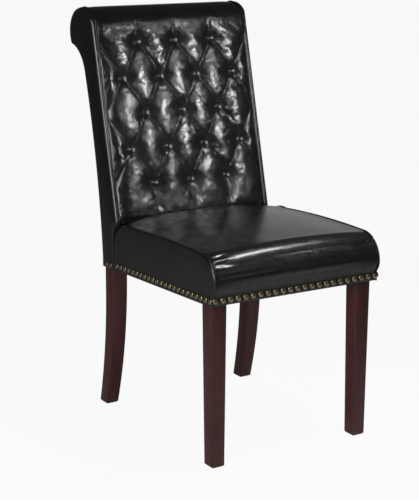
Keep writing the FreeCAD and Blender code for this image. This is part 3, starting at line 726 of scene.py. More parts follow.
def marked_points(name: str, places: Sequence[Sequence[float]], facing: Sequence[Vector]) -> bpy.types.Object:
    """Loose points that each know which way their copy faces.

    Args:
        name: The object's name.
        places: Where the points are.
        facing: Which way each copy faces.

    Returns:
        An object of loose points with the attribute "facing".
    """
    made = mesh_object(name, np.array([tuple(place) for place in places]), [])
    layer = made.data.attributes.new("facing", "FLOAT_VECTOR", "POINT")
    layer.data.foreach_set("vector", np.array([tuple(way) for way in facing], dtype=np.float32).ravel())
    return made


def joined_lines(name: str, lines: Sequence[np.ndarray]) -> bpy.types.Object:
    """Open lines through points, as edges with no faces.

    Args:
        name: The object's name.
        lines: The lines, each an array of places.

    Returns:
        One object with all the lines.
    """
    mesh = bpy.data.meshes.new(name)
    points = []
    edges = []
    for line in lines:
        edges += [(len(points) + index, len(points) + index + 1) for index in range(len(line) - 1)]
        points += [tuple(map(float, point)) for point in line]
    mesh.from_pydata(points, edges, [])
    return linked(name, mesh)


@dataclass
class StitchRun:
    """Rows of thread stitches that follow lines on the leather."""

    length: float = 3.1 * MM
    gap: float = 1.1 * MM
    thread: float = 0.42 * MM

    def sew(self, name: str, lines: Sequence[np.ndarray]) -> bpy.types.Object:
        """Sew along lines.

        Args:
            name: The piece's name.
            lines: The rows, each an array of places.

        Returns:
            The stitches as one piece.
        """
        tree = GrowingTree(name + "_tree")
        length = tree.size("Stitch Length", self.length)
        pitch = tree.size("Stitch Pitch", self.length + self.gap)
        thread = tree.size("Thread Radius", self.thread)
        curve = tree.node("GeometryNodeMeshToCurve", Mesh=tree.start.outputs[0])
        even = tree.node("GeometryNodeResampleCurve", Curve=curve.outputs[0])
        set_resample_length(even)
        tree.tree.links.new(pitch, even.inputs["Length"])
        stitch = tree.scaled(tree.unit_ball(6, 4), thread, tree.maths("MULTIPLY", length, 0.5))
        tangent = tree.node("GeometryNodeInputTangent")
        copies = tree.copies(even.outputs[0], stitch, tangent.outputs[0])
        return tree.run(joined_lines(name, lines), copies, Finish.THREAD)


def set_resample_length(node: bpy.types.Node) -> None:
    """Make a resampling node space its points by length.

    Args:
        node: The node.
    """
    if hasattr(node, "mode"):
        node.mode = "LENGTH"
    else:
        node.inputs["Mode"].default_value = "Length"


@dataclass
class SeamBead:
    """The low ridge that a seam's turned edges raise in the leather."""

    radius: float = 1.3 * MM

    def raise_along(self, name: str, lines: Sequence[np.ndarray]) -> bpy.types.Object:
        """Make ridges along lines.

        Args:
            name: The piece's name.
            lines: The seams, each an array of places.

        Returns:
            The ridges as one piece.
        """
        tree = GrowingTree(name + "_tree")
        radius = tree.size("Ridge Radius", self.radius)
        curve = tree.node("GeometryNodeMeshToCurve", Mesh=tree.start.outputs[0])
        ring = tree.node("GeometryNodeCurvePrimitiveCircle", Resolution=8, Radius=radius)
        tube = tree.node("GeometryNodeCurveToMesh", Curve=curve.outputs[0], Profile_Curve=ring.outputs[0])
        tube.inputs["Fill Caps"].default_value = True
        piece = tree.run(joined_lines(name, lines), tube.outputs[0], Finish.LEATHER)
        face_outwards(piece)
        return piece


# The back

@dataclass(frozen=True)
class BackShape:
    """Side outline of the back: a front plane that leans back and meets the roll on a tangent."""

    lean: float = math.radians(13.62)
    roll_radius: float = 62.0 * MM
    roll_depth: float = 626.5 * MM
    roll_height: float = 947.65 * MM
    notch: float = math.radians(-31.0)
    bottom: float = 370.0 * MM
    front_low: float = 471.0 * MM
    rear_low: float = 526.0 * MM
    nose_height: float = 492.0 * MM
    step_height: float = 452.0 * MM
    step_middle: float = 474.0 * MM
    under_roll: Pair = (634.0 * MM, 893.5 * MM)
    neck: Pair = (610.0 * MM, 853.0 * MM)
    rear_middle: Pair = (558.0 * MM, 640.0 * MM)
    rear_foot: float = 395.0 * MM
    tufted_length: float = 484.0 * MM
    cover_half: float = 213.6 * MM
    outer_half: float = 229.0 * MM

    def tangent(self) -> Pair:
        """Depth and height where the front plane meets the roll."""
        return (self.roll_depth - self.roll_radius * math.cos(self.lean),
                self.roll_height + self.roll_radius * math.sin(self.lean))

    def roll_length(self) -> float:
        """Length of the cover round the roll, from the plane to the notch."""
        return self.roll_radius * (math.pi - self.lean - self.notch)

    def place(self, x: np.ndarray, down: np.ndarray, lift: np.ndarray) -> np.ndarray:
        """Places on the cover.

        Args:
            x: Place across the chair.
            down: Distance down from the roll's tangent line, negative round the roll.
            lift: Height above the cover's plain surface.

        Returns:
            Places in the frame, one row each.
        """
        depth, height = self.tangent()
        plane_y = depth - down * math.sin(self.lean) - lift * math.cos(self.lean)
        plane_z = height - down * math.cos(self.lean) + lift * math.sin(self.lean)
        turn = math.pi - self.lean + np.minimum(down, 0) / self.roll_radius
        roll_y = self.roll_depth + (self.roll_radius + lift) * np.cos(turn)
        roll_z = self.roll_height + (self.roll_radius + lift) * np.sin(turn)
        y = np.where(down >= 0, plane_y, roll_y) + DEPTH_TO_Y
        z = np.where(down >= 0, plane_z, roll_z)
        return np.stack([x, y, z], axis=-1)

    def facing(self, down: float) -> Vector:
        """Outward direction of the cover at a distance down from the tangent line."""
        turn = math.pi - self.lean + min(down, 0.0) / self.roll_radius
        return Vector((0, math.cos(turn), math.sin(turn)))

    def front_depth(self, height: float) -> float:
        """Depth of the front outline at a height under the roll's tangent line.

        Args:
            height: The height.

        Returns:
            The depth, in the chair's own measure.
        """
        depth, top = self.tangent()
        if height >= self.nose_height:
            return depth - (top - height) * math.tan(self.lean)
        nose = depth - (top - self.nose_height) * math.tan(self.lean)
        if height <= self.step_height:
            return self.front_low
        share = (height - self.step_height) / (self.nose_height - self.step_height)
        return self.front_low + (nose - self.front_low) * share ** 1.6

    def outline(self, front: float, low: float, rear: float) -> np.ndarray:
        """Closed side outline, drawn in from its front, bottom and rear.

        Args:
            front: How far the front and the roll's front are drawn in.
            low: How far the lower front is drawn in.
            rear: How far the roll and the rear are drawn in.

        Returns:
            Depth and height of each point, in the frame.
        """
        radius = self.roll_radius - rear
        standoff = self.roll_radius - front
        chord = math.sqrt(max(radius * radius - standoff * standoff, 0.0))
        sine, cosine = math.sin(self.lean), math.cos(self.lean)
        top = (self.roll_depth - standoff * cosine + chord * sine,
               self.roll_height + standoff * sine + chord * cosine)
        nose = (top[0] - (top[1] - self.nose_height) * math.tan(self.lean), self.nose_height)
        face = self.front_low + low
        step = (face, self.step_height)
        step_middle = (face - (face - nose[0]) * 0.24, self.step_middle)
        turns = np.linspace(math.atan2(top[1] - self.roll_height, top[0] - self.roll_depth), self.notch, 56)
        roll = np.stack([self.roll_depth + radius * np.cos(turns),
                         self.roll_height + radius * np.sin(turns)], axis=1)
        under, neck, middle = ((depth - rear, height) for depth, height
                               in (self.under_roll, self.neck, self.rear_middle))
        foot = self.bottom + min(rear, low)
        rear_foot = (self.rear_low - rear, self.rear_foot)
        rear_corner = (self.rear_low - rear, foot)
        parts = [line_through((face, foot), step, 12)[:-1],
                 arc_through(step, step_middle, nose, 8)[:-1],
                 line_through(nose, top, 70)[:-1],
                 roll[:-1],
                 arc_through(tuple(roll[-1]), under, neck, 14)[:-1],
                 arc_through(neck, middle, rear_foot, 66)[:-1],
                 line_through(rear_foot, rear_corner, 4)[:-1],
                 line_through(rear_corner, (face, foot), 9)[:-1]]
        points = np.concatenate(parts)
        points[:, 0] += DEPTH_TO_Y
        return points


@dataclass(frozen=True)
class PleatStyle:
    """How a kind of pleat bows, sinks and folds, as shares of the tufting's sizes.

    The valley deepens at either end by start and finish. The crisp fold runs over the span.
    """

    bow: float = 0.1
    start: float = 1.0
    finish: float = 1.0
    middle: float = 1.0
    span: Pair = (0.0, 1.0)
    weight: float = 1.0
    doubled: float = 0.0


class PleatKind(Enum):
    """Kinds of pleat, named by the way that they run down from the upper end."""

    LEFTWARD = PleatStyle(bow=-0.35, span=(0.16, 0.93), doubled=0.85)
    RIGHTWARD = PleatStyle(bow=1.25, span=(0.07, 0.62), doubled=0.3)
    OUTWARD = PleatStyle(finish=0.1, span=(0.12, 1.0), weight=0.7)
    INWARD = PleatStyle(start=0.1, span=(0.0, 0.85), weight=0.7)
    RISING = PleatStyle(start=0.0, middle=0.75, span=(0.18, 0.80), doubled=0.2)
    FALLING = PleatStyle(finish=0.0, middle=1.15, span=(0.18, 0.85), doubled=0.9)

    def fade(self, share: np.ndarray) -> np.ndarray:
        """Fade the valley out on the roll and at the foot.

        Args:
            share: Share of the way down the pleat.

        Returns:
            Share of the valley's depth that is kept.
        """
        if self is PleatKind.RISING:
            return smooth_step(0.0, 0.6, share)
        if self is PleatKind.FALLING:
            return 1 - smooth_step(0.3, 1.0, share) * 0.8
        return np.ones_like(share)


@dataclass(frozen=True)
class Pleat:
    """One pleat, from its upper to its lower end."""

    upper: Pair
    lower: Pair
    kind: PleatKind


@dataclass
class Tufting:
    """Heights of the diamond-tufted leather over the back's plain surface."""

    half_pitch: float = 53.5 * MM
    row_pitch: float = 88.2 * MM
    first_row: float = 38.5 * MM
    rows: int = 5
    well_depth: float = 14.0 * MM
    well_reach: float = 50.0 * MM
    centre_depth: float = 3.2 * MM
    centre_reach: float = 8.5 * MM
    valley_end: float = 8.5 * MM
    valley_middle: float = 5.2 * MM
    valley_reach: float = 42.0 * MM
    crease_depth: float = 2.9 * MM
    crease_width: float = 2.3 * MM
    bow: float = 5.5 * MM
    crown: float = 5.0 * MM
    edge_fall: float = 10.5 * MM
    edge_reach: float = 32.0 * MM
    edge_margin: float = 20.0 * MM
    roll_fall: float = 0.24
    fall_span: Pair = (12.0 * MM, 75.0 * MM)
    roll_pleat: float = 24.0 * MM
    foot_pleat: float = 78.0 * MM
    foot_lean: float = 3.0 * MM
    gathers: tuple[float, ...] = (0.25 * MM, 0.45 * MM, 1.0 * MM, 0.6 * MM, 1.0 * MM)
    seed: int = 11

    def buttons(self) -> list[Pair]:
        """Across and down places of the buttons, rows of three and four in turn.

        Returns:
            The places, from the upper row down.
        """
        places = []
        for row in range(self.rows):
            count = 3 + row % 2
            places += [(self.half_pitch * (2 * index - count + 1), self.first_row + self.row_pitch * row)
                       for index in range(count)]
        return places

    def pleats(self, half: float) -> list[Pleat]:
        """Every pleat of the cover.

        Args:
            half: Half the width of the tufted cover.

        Returns:
            The pleats, button by button.
        """
        found = []
        last = self.first_row + self.row_pitch * (self.rows - 1)
        edge = half - self.edge_margin
        for x, down in self.buttons():
            button = (x, down)
            for side, kind in ((-1, PleatKind.LEFTWARD), (1, PleatKind.RIGHTWARD)):
                beside = x + side * self.half_pitch
                above_last = down < last - MM
                if above_last and abs(beside) < edge:
                    found.append(Pleat(button, (beside, down + self.row_pitch), kind))
                elif above_last:
                    below = (side * half, down + self.row_pitch * 0.98)
                    found.append(Pleat(button, below, PleatKind.OUTWARD))
                if abs(beside) > edge and down > self.first_row + MM:
                    above = (side * half, down - self.row_pitch * 0.98)
                    found.append(Pleat(above, button, PleatKind.INWARD))
            if down < self.first_row + MM:
                found.append(Pleat((x, -self.roll_pleat), button, PleatKind.RISING))
            if down > last - MM:
                below = (x + self.foot_lean, down + self.foot_pleat)
                found.append(Pleat(button, below, PleatKind.FALLING))
        return found

    def heights(self, x: np.ndarray, down: np.ndarray, half: float) -> np.ndarray:
        """Height of the leather at each place.

        Args:
            x: Places across.
            down: Distances down from the roll's tangent line.
            half: Half the width of the cover.

        Returns:
            Heights above the plain surface, mostly below nought.
        """
        chance = np.random.default_rng(self.seed)
        sunk = np.zeros_like(x)
        folds = np.zeros_like(x)
        for pleat in self.pleats(half):
            valley, crease = self.pleat(x, down, pleat, chance)
            sunk += valley ** 2.5
            folds += crease
        for bx, bd in self.buttons():
            away = np.hypot(x - bx, down - bd)
            well = self.well_depth * (1 - self.bulge(away / self.well_reach))
            well += self.centre_depth * np.exp(-(away / self.centre_reach) ** 4)
            sunk += well ** 2.5
            folds += self.star(x - bx, down - bd, away, bd, chance)
        height = self.crown * self.tufted_share(down) - sunk ** 0.4
        edge = np.maximum(half - np.abs(x), 0)
        fall = self.edge_fall * (self.roll_fall + (1 - self.roll_fall) * smooth_step(*self.fall_span, down))
        height -= fall * (1 - self.bulge(edge / self.edge_reach))
        waves = ripple(x, down, 120 * MM, 3) * 0.8 * MM + ripple(x, down, 30 * MM, 4) * 0.16 * MM
        calm = smooth_step(-30 * MM, 10 * MM, down) * 0.9 + 0.1
        return height + folds + waves * calm * np.clip(edge / (14 * MM), 0, 1)

    def tufted_share(self, down: np.ndarray) -> np.ndarray:
        """1 on the tufted plane, falling to 0 on the roll and at the foot."""
        return smooth_step(-70 * MM, -5 * MM, down) * (1 - smooth_step(464 * MM, 484 * MM, down) * 1.2)

    @staticmethod
    def bulge(share: np.ndarray) -> np.ndarray:
        """Rounded rise from 0 to 1 of a stuffed edge."""
        left = 1 - np.clip(share, 0, 1)
        return np.sqrt(np.maximum(1 - left * left, 0)) * 0.35 + (1 - left ** 2.2) * 0.65

    def pleat(self, x: np.ndarray, down: np.ndarray, pleat: Pleat,
              chance: np.random.Generator) -> tuple[np.ndarray, np.ndarray]:
        """Valley of one pleat and the crisp fold in it.

        Args:
            x: Places across.
            down: Distances down.
            pleat: The pleat.
            chance: Source of the small differences among pleats.

        Returns:
            How far the leather sinks, and the height of the crisp fold.
        """
        style = pleat.kind.value
        run = np.array(pleat.lower) - np.array(pleat.upper)
        length = float(np.hypot(*run))
        along = run / length
        across = np.array([-along[1], along[0]])
        if across[1] > 0:
            across = -across
        px, pd = x - pleat.upper[0], down - pleat.upper[1]
        t = (px * along[0] + pd * along[1]) / length
        held = np.clip(t, 0, 1)
        bow = style.bow * self.bow * chance.uniform(0.7, 1.2)
        off = px * across[0] + pd * across[1] - bow * np.sin(np.pi * held)
        beyond = np.maximum(np.maximum(-t, t - 1), 0) * length
        away = np.hypot(off, beyond)
        near_start = style.start * np.clip(1 - 2.2 * held, 0, 1) ** 1.5
        near_finish = style.finish * np.clip(2.2 * held - 1.2, 0, 1) ** 1.5
        middle = style.middle * self.valley_middle
        depth = middle + (self.valley_end - middle) * (near_start + near_finish)
        depth = depth * pleat.kind.fade(held)
        valley = np.maximum(depth * (1 - self.bulge(away / self.valley_reach)), 0)
        return valley, self.crease(t, off, style, chance)

    def crease(self, t: np.ndarray, off: np.ndarray, style: PleatStyle,
               chance: np.random.Generator) -> np.ndarray:
        """The crisp fold of a pleat: a thin cut line with one lip raised, sometimes doubled.

        Args:
            t: Share of the way down the pleat.
            off: Distance from the pleat's line.
            style: How the pleat folds.
            chance: Source of the small differences among pleats.

        Returns:
            Heights of the fold.
        """
        start, finish = style.span
        finish += chance.uniform(-0.10, 0.06)
        start += chance.uniform(-0.03, 0.06)
        window = smooth_step(start, start + 0.16, t) * (1 - smooth_step(finish - 0.28, finish, t))
        width = self.crease_width
        weight = chance.uniform(0.75, 1.15) * style.weight
        lip = np.exp(-(np.maximum(off, 0) / (3.2 * width)) ** 2) * (off > 0)
        cut = np.exp(-np.abs(off / width) ** 1.3)
        total = self.crease_depth * weight * window * (0.42 * lip - cut)
        if chance.random() < style.doubled:
            shift = chance.uniform(4.6, 6.2) * MM * (1 if chance.random() < 0.5 else -1)
            second = smooth_step(start + 0.02, start + 0.16, t) * (1 - smooth_step(0.42, 0.62, t))
            total -= self.crease_depth * 0.6 * second * np.exp(-np.abs((off - shift) / width) ** 1.3)
        return total

    def star(self, x: np.ndarray, down: np.ndarray, away: np.ndarray, row_down: float,
             chance: np.random.Generator) -> np.ndarray:
        """Gathers that run out from a button like a star.

        Args:
            x: Places across from the button.
            down: Places down from the button.
            away: Distances from the button.
            row_down: How far down the back the button is.
            chance: Source of the differences among buttons.

        Returns:
            Heights of the gathers.
        """
        turn = np.arctan2(down, x)
        total = np.zeros_like(x)
        strength = self.gathers[round((row_down - self.first_row) / self.row_pitch)]
        for _ in range(8):
            aim = chance.uniform(-math.pi, math.pi)
            width = chance.uniform(0.06, 0.14)
            reach = chance.uniform(20, 46) * MM
            gap = np.angle(np.exp(1j * (turn - aim)))
            window = smooth_step(9 * MM, 18 * MM, away) * (1 - smooth_step(reach * 0.5, reach, away))
            strong = strength * chance.uniform(0.4, 1.0)
            fold = np.exp(-(gap / width) ** 2) - 0.8 * np.exp(-((gap - width * 1.9) / width) ** 2)
            total += strong * window * fold
        return total


def hold_points(piece: bpy.types.Object, weights: np.ndarray) -> None:
    """Group the points that the cloth simulation holds.

    Args:
        piece: The object to simulate.
        weights: How firmly each point is held, 0 to 1.
    """
    group = piece.vertex_groups.new(name=HELD)
    for index, weight in enumerate(weights):
        if weight > LEAST_HOLD:
            group.add([index], float(weight), "REPLACE")


def run_cloth(piece: bpy.types.Object, pressure: float, slack: float, cap: float) -> np.ndarray:
    """Let a held piece settle as leather under the push of its stuffing.

    Args:
        piece: The object to simulate.
        pressure: Push of the stuffing.
        slack: Share by which the leather is larger than its place.
        cap: Most that a point may move.

    Returns:
        How far each point moves.
    """
    places = np.array([vertex.co[:] for vertex in piece.data.vertices])
    cloth = piece.modifiers.new("Cloth", "CLOTH")
    settings = cloth.settings
    settings.quality = 6
    settings.mass = 0.35
    settings.tension_stiffness = 22
    settings.compression_stiffness = 14
    settings.shear_stiffness = 9
    settings.bending_stiffness = 1.1
    settings.tension_damping = 18
    settings.bending_damping = 2.0
    settings.use_pressure = True
    settings.uniform_pressure_force = pressure
    settings.shrink_min = -slack
    settings.shrink_max = -slack
    settings.vertex_group_mass = HELD
    settings.effector_weights.gravity = 0
    cloth.collision_settings.use_collision = False
    cloth.point_cache.frame_start = 1
    cloth.point_cache.frame_end = SETTLING_STEPS
    scene = bpy.context.scene
    for step in range(1, SETTLING_STEPS + 1):
        scene.frame_set(step)
    view = bpy.context.evaluated_depsgraph_get()
    solved = piece.evaluated_get(view).data
    settled = np.empty(len(solved.vertices) * 3, dtype=np.float64)
    solved.vertices.foreach_get("co", settled)
    piece.modifiers.remove(cloth)
    scene.frame_set(1)
    moved = settled.reshape(-1, 3) - places
    far = np.linalg.norm(moved, axis=1, keepdims=True)
    return moved * np.minimum(1.0, cap / np.maximum(far, 1e-9))


@dataclass
class TuftedBack:
    """Tufted front cover that runs on over the roll, with its buttons."""

    shape: BackShape
    tufting: Tufting = field(default_factory=Tufting)
    step: float = 2.15 * MM
    coarse: int = 2
    pressure: float = 1.6
    slack: float = 0.004
    cap: float = 1.6 * MM
    shell: float = 19.6 * MM
    button_drop: float = 11.2 * MM
    button_radius: float = 7.0 * MM
    button_height: float = 5.4 * MM
    button_gathers: float = 9.0

    def build(self) -> list[bpy.types.Object]:
        """Make the cover and the buttons.

        Returns:
            The two pieces.
        """
        cover = self.make_cover()
        settle(cover, Finish.LEATHER, ["back_front_cover", "back_foam", "roll_foam"])
        buttons = self.make_buttons()
        settle(buttons, Finish.LEATHER, ["tufting_buttons"])
        return [cover, buttons]

    def make_cover(self) -> bpy.types.Object:
        """Make the tufted cover as one closed shell.

        Returns:
            The cover.
        """
        half = self.shape.cover_half
        columns = 2 * int(half / self.step / self.coarse) * self.coarse + 1
        length = self.shape.tufted_length + self.shape.roll_length()
        rows = int(length / self.step / self.coarse) * self.coarse + 1
        across = np.linspace(-half, half, columns)
        down = np.linspace(self.shape.tufted_length, -self.shape.roll_length(), rows)
        x, d = np.meshgrid(across, down)
        lift = self.tufting.heights(x, d, half)
        places = self.shape.place(x.ravel(), d.ravel(), lift.ravel())
        places = places + self.settled(x, d, lift)
        return self.closed(places, rows, columns, down)

    def settled(self, x: np.ndarray, d: np.ndarray, lift: np.ndarray) -> np.ndarray:
        """Move of every point when the leather settles, found on a coarser sheet.

        Args:
            x: Places across, as a grid.
            d: Distances down, as a grid.
            lift: Heights, as a grid.

        Returns:
            Moves, one row for each point of the fine grid.
        """
        jump = self.coarse
        cx, cd, cl = (grid[::jump, ::jump] for grid in (x, d, lift))
        rows, columns = cx.shape
        start = self.shape.place(cx.ravel(), cd.ravel(), cl.ravel())
        held = np.clip((-cl - 6 * MM) / (6 * MM), 0, 1)
        held[0, :] = held[-1, :] = held[:, 0] = held[:, -1] = 1.0
        held = np.maximum(held, 1 - smooth_step(-12 * MM, 16 * MM, cd))
        sheet = mesh_object("settling_sheet", start, grid_faces(rows, columns))
        hold_points(sheet, held.ravel())
        moved = run_cloth(sheet, self.pressure, self.slack, self.cap).reshape(rows, columns, 3)
        bpy.data.objects.remove(sheet)
        fine_rows = np.linspace(0, rows - 1, x.shape[0])
        fine_columns = np.linspace(0, columns - 1, x.shape[1])
        r0 = np.minimum(fine_rows.astype(int), rows - 2)
        c0 = np.minimum(fine_columns.astype(int), columns - 2)
        fr = (fine_rows - r0)[:, None, None]
        fc = (fine_columns - c0)[None, :, None]
        top = moved[r0][:, c0] * (1 - fc) + moved[r0][:, c0 + 1] * fc
        low = moved[r0 + 1][:, c0] * (1 - fc) + moved[r0 + 1][:, c0 + 1] * fc
        return (top * (1 - fr) + low * fr).reshape(-1, 3)

    def closed(self, places: np.ndarray, rows: int, columns: int, down: np.ndarray) -> bpy.types.Object:
        """Close the sheet with a plain back face behind it.

        Args:
            places: Places of the sheet's points.
            rows: Rows of the grid.
            columns: Points in a row.
            down: Distance down of each row.

        Returns:
            The closed cover.
        """
        behind = np.full(rows, -self.shell)
        ends = [self.shape.place(np.full(rows, side * self.shape.cover_half), down, behind)
                for side in (-1, 1)]
        points = np.concatenate([places, ends[0], ends[1]])
        faces = grid_faces(rows, columns)
        left, right = rows * columns, rows * columns + rows
        for row in range(rows - 1):
            first, last = row * columns, row * columns + columns - 1
            faces.append((first, first + columns, left + row + 1, left + row))
            faces.append((last + columns, last, right + row, right + row + 1))
            faces.append((left + row, left + row + 1, right + row + 1, right + row))
        faces.append(tuple([left, right] + [columns - 1 - index for index in range(columns)]))
        top = (rows - 1) * columns
        faces.append(tuple([right + rows - 1, left + rows - 1] + [top + index for index in range(columns)]))
        cover = mesh_object("tufted_back_cover", points, faces)
        face_outwards(cover)
        return cover

    def make_buttons(self) -> bpy.types.Object:
        """Make the covered buttons, each with a gathered rim.

        Returns:
            The buttons as one piece.
        """
        x, down = np.array(self.tufting.buttons()).T
        places = self.shape.place(x, down, np.full(len(x), -self.button_drop))
        facing = [self.shape.facing(row) for row in down]
        tree = GrowingTree("tufting_button_tree")
        radius = tree.size("Button Radius", self.button_radius)
        height = tree.size("Button Height", self.button_height)
        ball = tree.unit_ball(28, 14)
        place = tree.node("GeometryNodeInputPosition")
        parts = tree.node("ShaderNodeSeparateXYZ", Vector=place.outputs[0])
        turn = tree.maths("ARCTAN2", parts.outputs[1], parts.outputs[0])
        wave = tree.maths("SINE", tree.maths("MULTIPLY", turn, self.button_gathers))
        low = tree.maths("MULTIPLY", tree.maths("SUBTRACT", 0.75, parts.outputs[2]), 0.045)
        gather = tree.maths("MULTIPLY_ADD", wave, low, 1.0)
        gathered = tree.node("ShaderNodeVectorMath", {"operation": "SCALE"}, Vector=place.outputs[0],
                             Scale=gather)
        ball = tree.node("GeometryNodeSetPosition", Geometry=ball, Position=gathered.outputs[0])
        copies = tree.marked_copies(tree.scaled(ball.outputs[0], radius, height))
        return tree.run(marked_points("covered_buttons", places, facing), copies, Finish.LEATHER)


@dataclass
class BackSides:
    """Side panels of the back, rolled over at their edges to the seams beside the tufting."""

    shape: BackShape
    inner_half: float = 213.9 * MM
    roll_in: float = 16.0 * MM
    small_roll: float = 4.1 * MM
    seam_dip: float = 4.5 * MM
    seam_span: tuple[int, int] = (14, 216)
    stitch_shares: Pair = (0.30, 0.52)
    belly: float = 1.5 * MM
    spine_span: Pair = (396.0 * MM, 880.0 * MM)

    def build(self) -> list[bpy.types.Object]:
        """Make both panels, their seams and stitches.

        Returns:
            The four pieces.
        """
        pieces = []
        for side, name in ((-1, "left"), (1, "right")):
            panel = self.make_panel(side, "back_side_" + name)
            settle(panel, Finish.LEATHER, ["back_side_panel_" + name])
            pieces.append(panel)
        lines = [self.seam_line(side, 0.0, 0.2 * MM) for side in (-1, 1)]
        seams = SeamBead(1.25 * MM).raise_along("back_side_seams", lines)
        settle(seams, Finish.LEATHER)
        rows = [self.seam_line(side, share, 0.0) for side in (-1, 1) for share in self.stitch_shares]
        stitches = StitchRun().sew("back_side_stitches", rows)
        settle(stitches, Finish.THREAD)
        return pieces + [seams, stitches]

    def ring(self, share: float) -> tuple[float, np.ndarray]:
        """Half width and outline at a share of the rolled edge, 0 at the seam and 1 at the flat side.

        Args:
            share: The share of the rolled edge.

        Returns:
            The half width, and the outline's points.
        """
        turn = share * math.pi / 2
        half = self.inner_half + (self.shape.outer_half - self.inner_half) * math.sin(turn)
        draw = 1 - math.cos(turn)
        seam = self.seam_dip * max(1 - share / 0.28, 0.0) ** 2
        small = self.small_roll * draw
        return half, self.shape.outline(self.roll_in * draw + seam, small, small)

    def seam_line(self, side: int, share: float, lift: float) -> np.ndarray:
        """Line along the rolled edge, from the seat up over the roll and down the rear.

        Args:
            side: -1 or 1.
            share: Place on the rolled edge.
            lift: How far the line stands off the leather.

        Returns:
            Places along the line.
        """
        half, outline = self.ring(share)
        kept = outline[slice(*self.seam_span)]
        normals = np.gradient(kept, axis=0)
        normals /= np.linalg.norm(normals, axis=1, keepdims=True)
        out = np.stack([-normals[:, 1], normals[:, 0]], axis=1)
        moved = kept + out * lift
        return np.column_stack([np.full(len(moved), side * (half + lift)), moved])

    def spine(self) -> np.ndarray:
        """Middle line of the side, from the foot to the roll's centre.

        Returns:
            Places along the line.
        """
        shape = self.shape
        heights = np.linspace(*self.spine_span, 40)
        rear = shape.outline(0, 0, 0)
        neck_y, neck_z = shape.neck[0] + DEPTH_TO_Y, shape.neck[1]
        rear = rear[np.argmin(np.hypot(rear[:, 0] - neck_y, rear[:, 1] - neck_z)):]
        order = np.argsort(rear[:, 1])
        behind = np.interp(heights, rear[order, 1], rear[order, 0])
        front = np.array([shape.front_depth(height) + DEPTH_TO_Y for height in heights])
        middle = np.column_stack([(front + behind) / 2, heights])
        centre = np.array([[shape.roll_depth + DEPTH_TO_Y, shape.roll_height]])
        upper = line_through(tuple(middle[-1]), tuple(centre[0]), 8)
        return np.concatenate([middle, upper[1:]])

    def make_panel(self, side: int, name: str) -> bpy.types.Object:
        """Make one panel as a closed padded form.

        Args:
            side: -1 or 1.
            name: The piece's name.

        Returns:
            The panel.
        """
        rings = []
        for share in np.linspace(0, 1, 8):
            half, outline = self.ring(share)
            rings.append(np.column_stack([np.full(len(outline), half), outline]))
        flat = rings[-1][:, 1:]
        spine = self.spine()
        gaps = np.linalg.norm(flat[:, None, :] - spine[None, :, :], axis=2)
        targets = spine[np.argmin(gaps, axis=1)]
        for share in (0.07, 0.16, 0.28, 0.42, 0.58, 0.74, 0.88, 0.96):
            outline = flat * (1 - share) + targets * share
            swell = self.belly * (1 - (1 - share) ** 2.2)
            waves = ripple(outline[:, 0], outline[:, 1], 150 * MM, 21 + side) * 0.55 * MM
            half = self.shape.outer_half + swell + waves * min(1.0, share * 5)
            rings.append(np.column_stack([half, outline]))
        return ring_form(name, rings, side)


@dataclass
class OutsideBack:
    """Plain outside-back panel from the notch under the roll to the bottom edge."""

    shape: BackShape
    thickness: float = 3.0 * MM
    half: float = 214.3 * MM
    columns: int = 90
    line_points: int = 82

    def build(self) -> list[bpy.types.Object]:
        """Make the panel.

        Returns:
            A list with the panel.
        """
        outer, inner = self.faces()
        panel = self.make_panel(outer, inner)
        settle(panel, Finish.LEATHER, ["back_rear_cover"])
        return [panel]

    def rear_line(self) -> np.ndarray:
        """Side line of the panel, from the notch to the bottom edge.

        Returns:
            Places along the line.
        """
        shape = self.shape
        outline = shape.outline(0, 0, 0)
        notch_y = shape.roll_depth + shape.roll_radius * math.cos(shape.notch) + DEPTH_TO_Y
        notch_z = shape.roll_height + shape.roll_radius * math.sin(shape.notch)
        start = np.argmin(np.abs(outline[:, 0] - notch_y) + np.abs(outline[:, 1] - notch_z))
        return outline[start:start + self.line_points]

    def faces(self) -> tuple[list[np.ndarray], list[np.ndarray]]:
        """Rows of points of the padded outer face and the plain inner face.

        Returns:
            The outer rows and the inner rows, from the notch down.
        """
        line = self.rear_line()
        across = np.linspace(-self.half, self.half, self.columns)
        slope = np.gradient(line, axis=0)
        slope /= np.linalg.norm(slope, axis=1, keepdims=True)
        out = np.stack([-slope[:, 1], slope[:, 0]], axis=1)
        edge = np.clip((self.half - np.abs(across)) / (16 * MM), 0, 1)
        outer, inner = [], []
        for index, ((y, z), (out_y, out_z)) in enumerate(zip(line, out)):
            ends = min(1.0, index / 5, (len(line) - 1 - index) / 4)
            puff = (np.sqrt(edge * (2 - edge)) * 2.2 * MM - 1.0 * MM) * ends
            puff += ripple(across, np.full_like(across, z), 170 * MM, 31) * 0.6 * MM * edge * ends
            deep = np.full_like(across, -self.thickness)
            outer.append(np.column_stack([across, y + out_y * puff, z + out_z * puff]))
            inner.append(np.column_stack([across, y + out_y * deep, z + out_z * deep]))
        return outer, inner

    @staticmethod
    def make_panel(outer: Sequence[np.ndarray], inner: Sequence[np.ndarray]) -> bpy.types.Object:
        """Join the two faces by their edges.

        Args:
            outer: Rows of points of the outer face.
            inner: Rows of points of the inner face.

        Returns:
            The closed panel.
        """
        rows, columns = len(outer), len(outer[0])
        shift = rows * columns
        faces = grid_faces(rows, columns)
        faces += [tuple(shift + index for index in reversed(face)) for face in grid_faces(rows, columns)]
        sides = [(row * columns + column, (row + 1) * columns + column)
                 for row in range(rows - 1) for column in (0, columns - 1)]
        ends = [(row * columns + column, row * columns + column + 1)
                for column in range(columns - 1) for row in (0, rows - 1)]
        faces += [(first, last, shift + last, shift + first) for first, last in sides + ends]
        panel = mesh_object("outside_back", np.concatenate([*outer, *inner]), faces)
        face_outwards(panel)
        return panel


# The seat

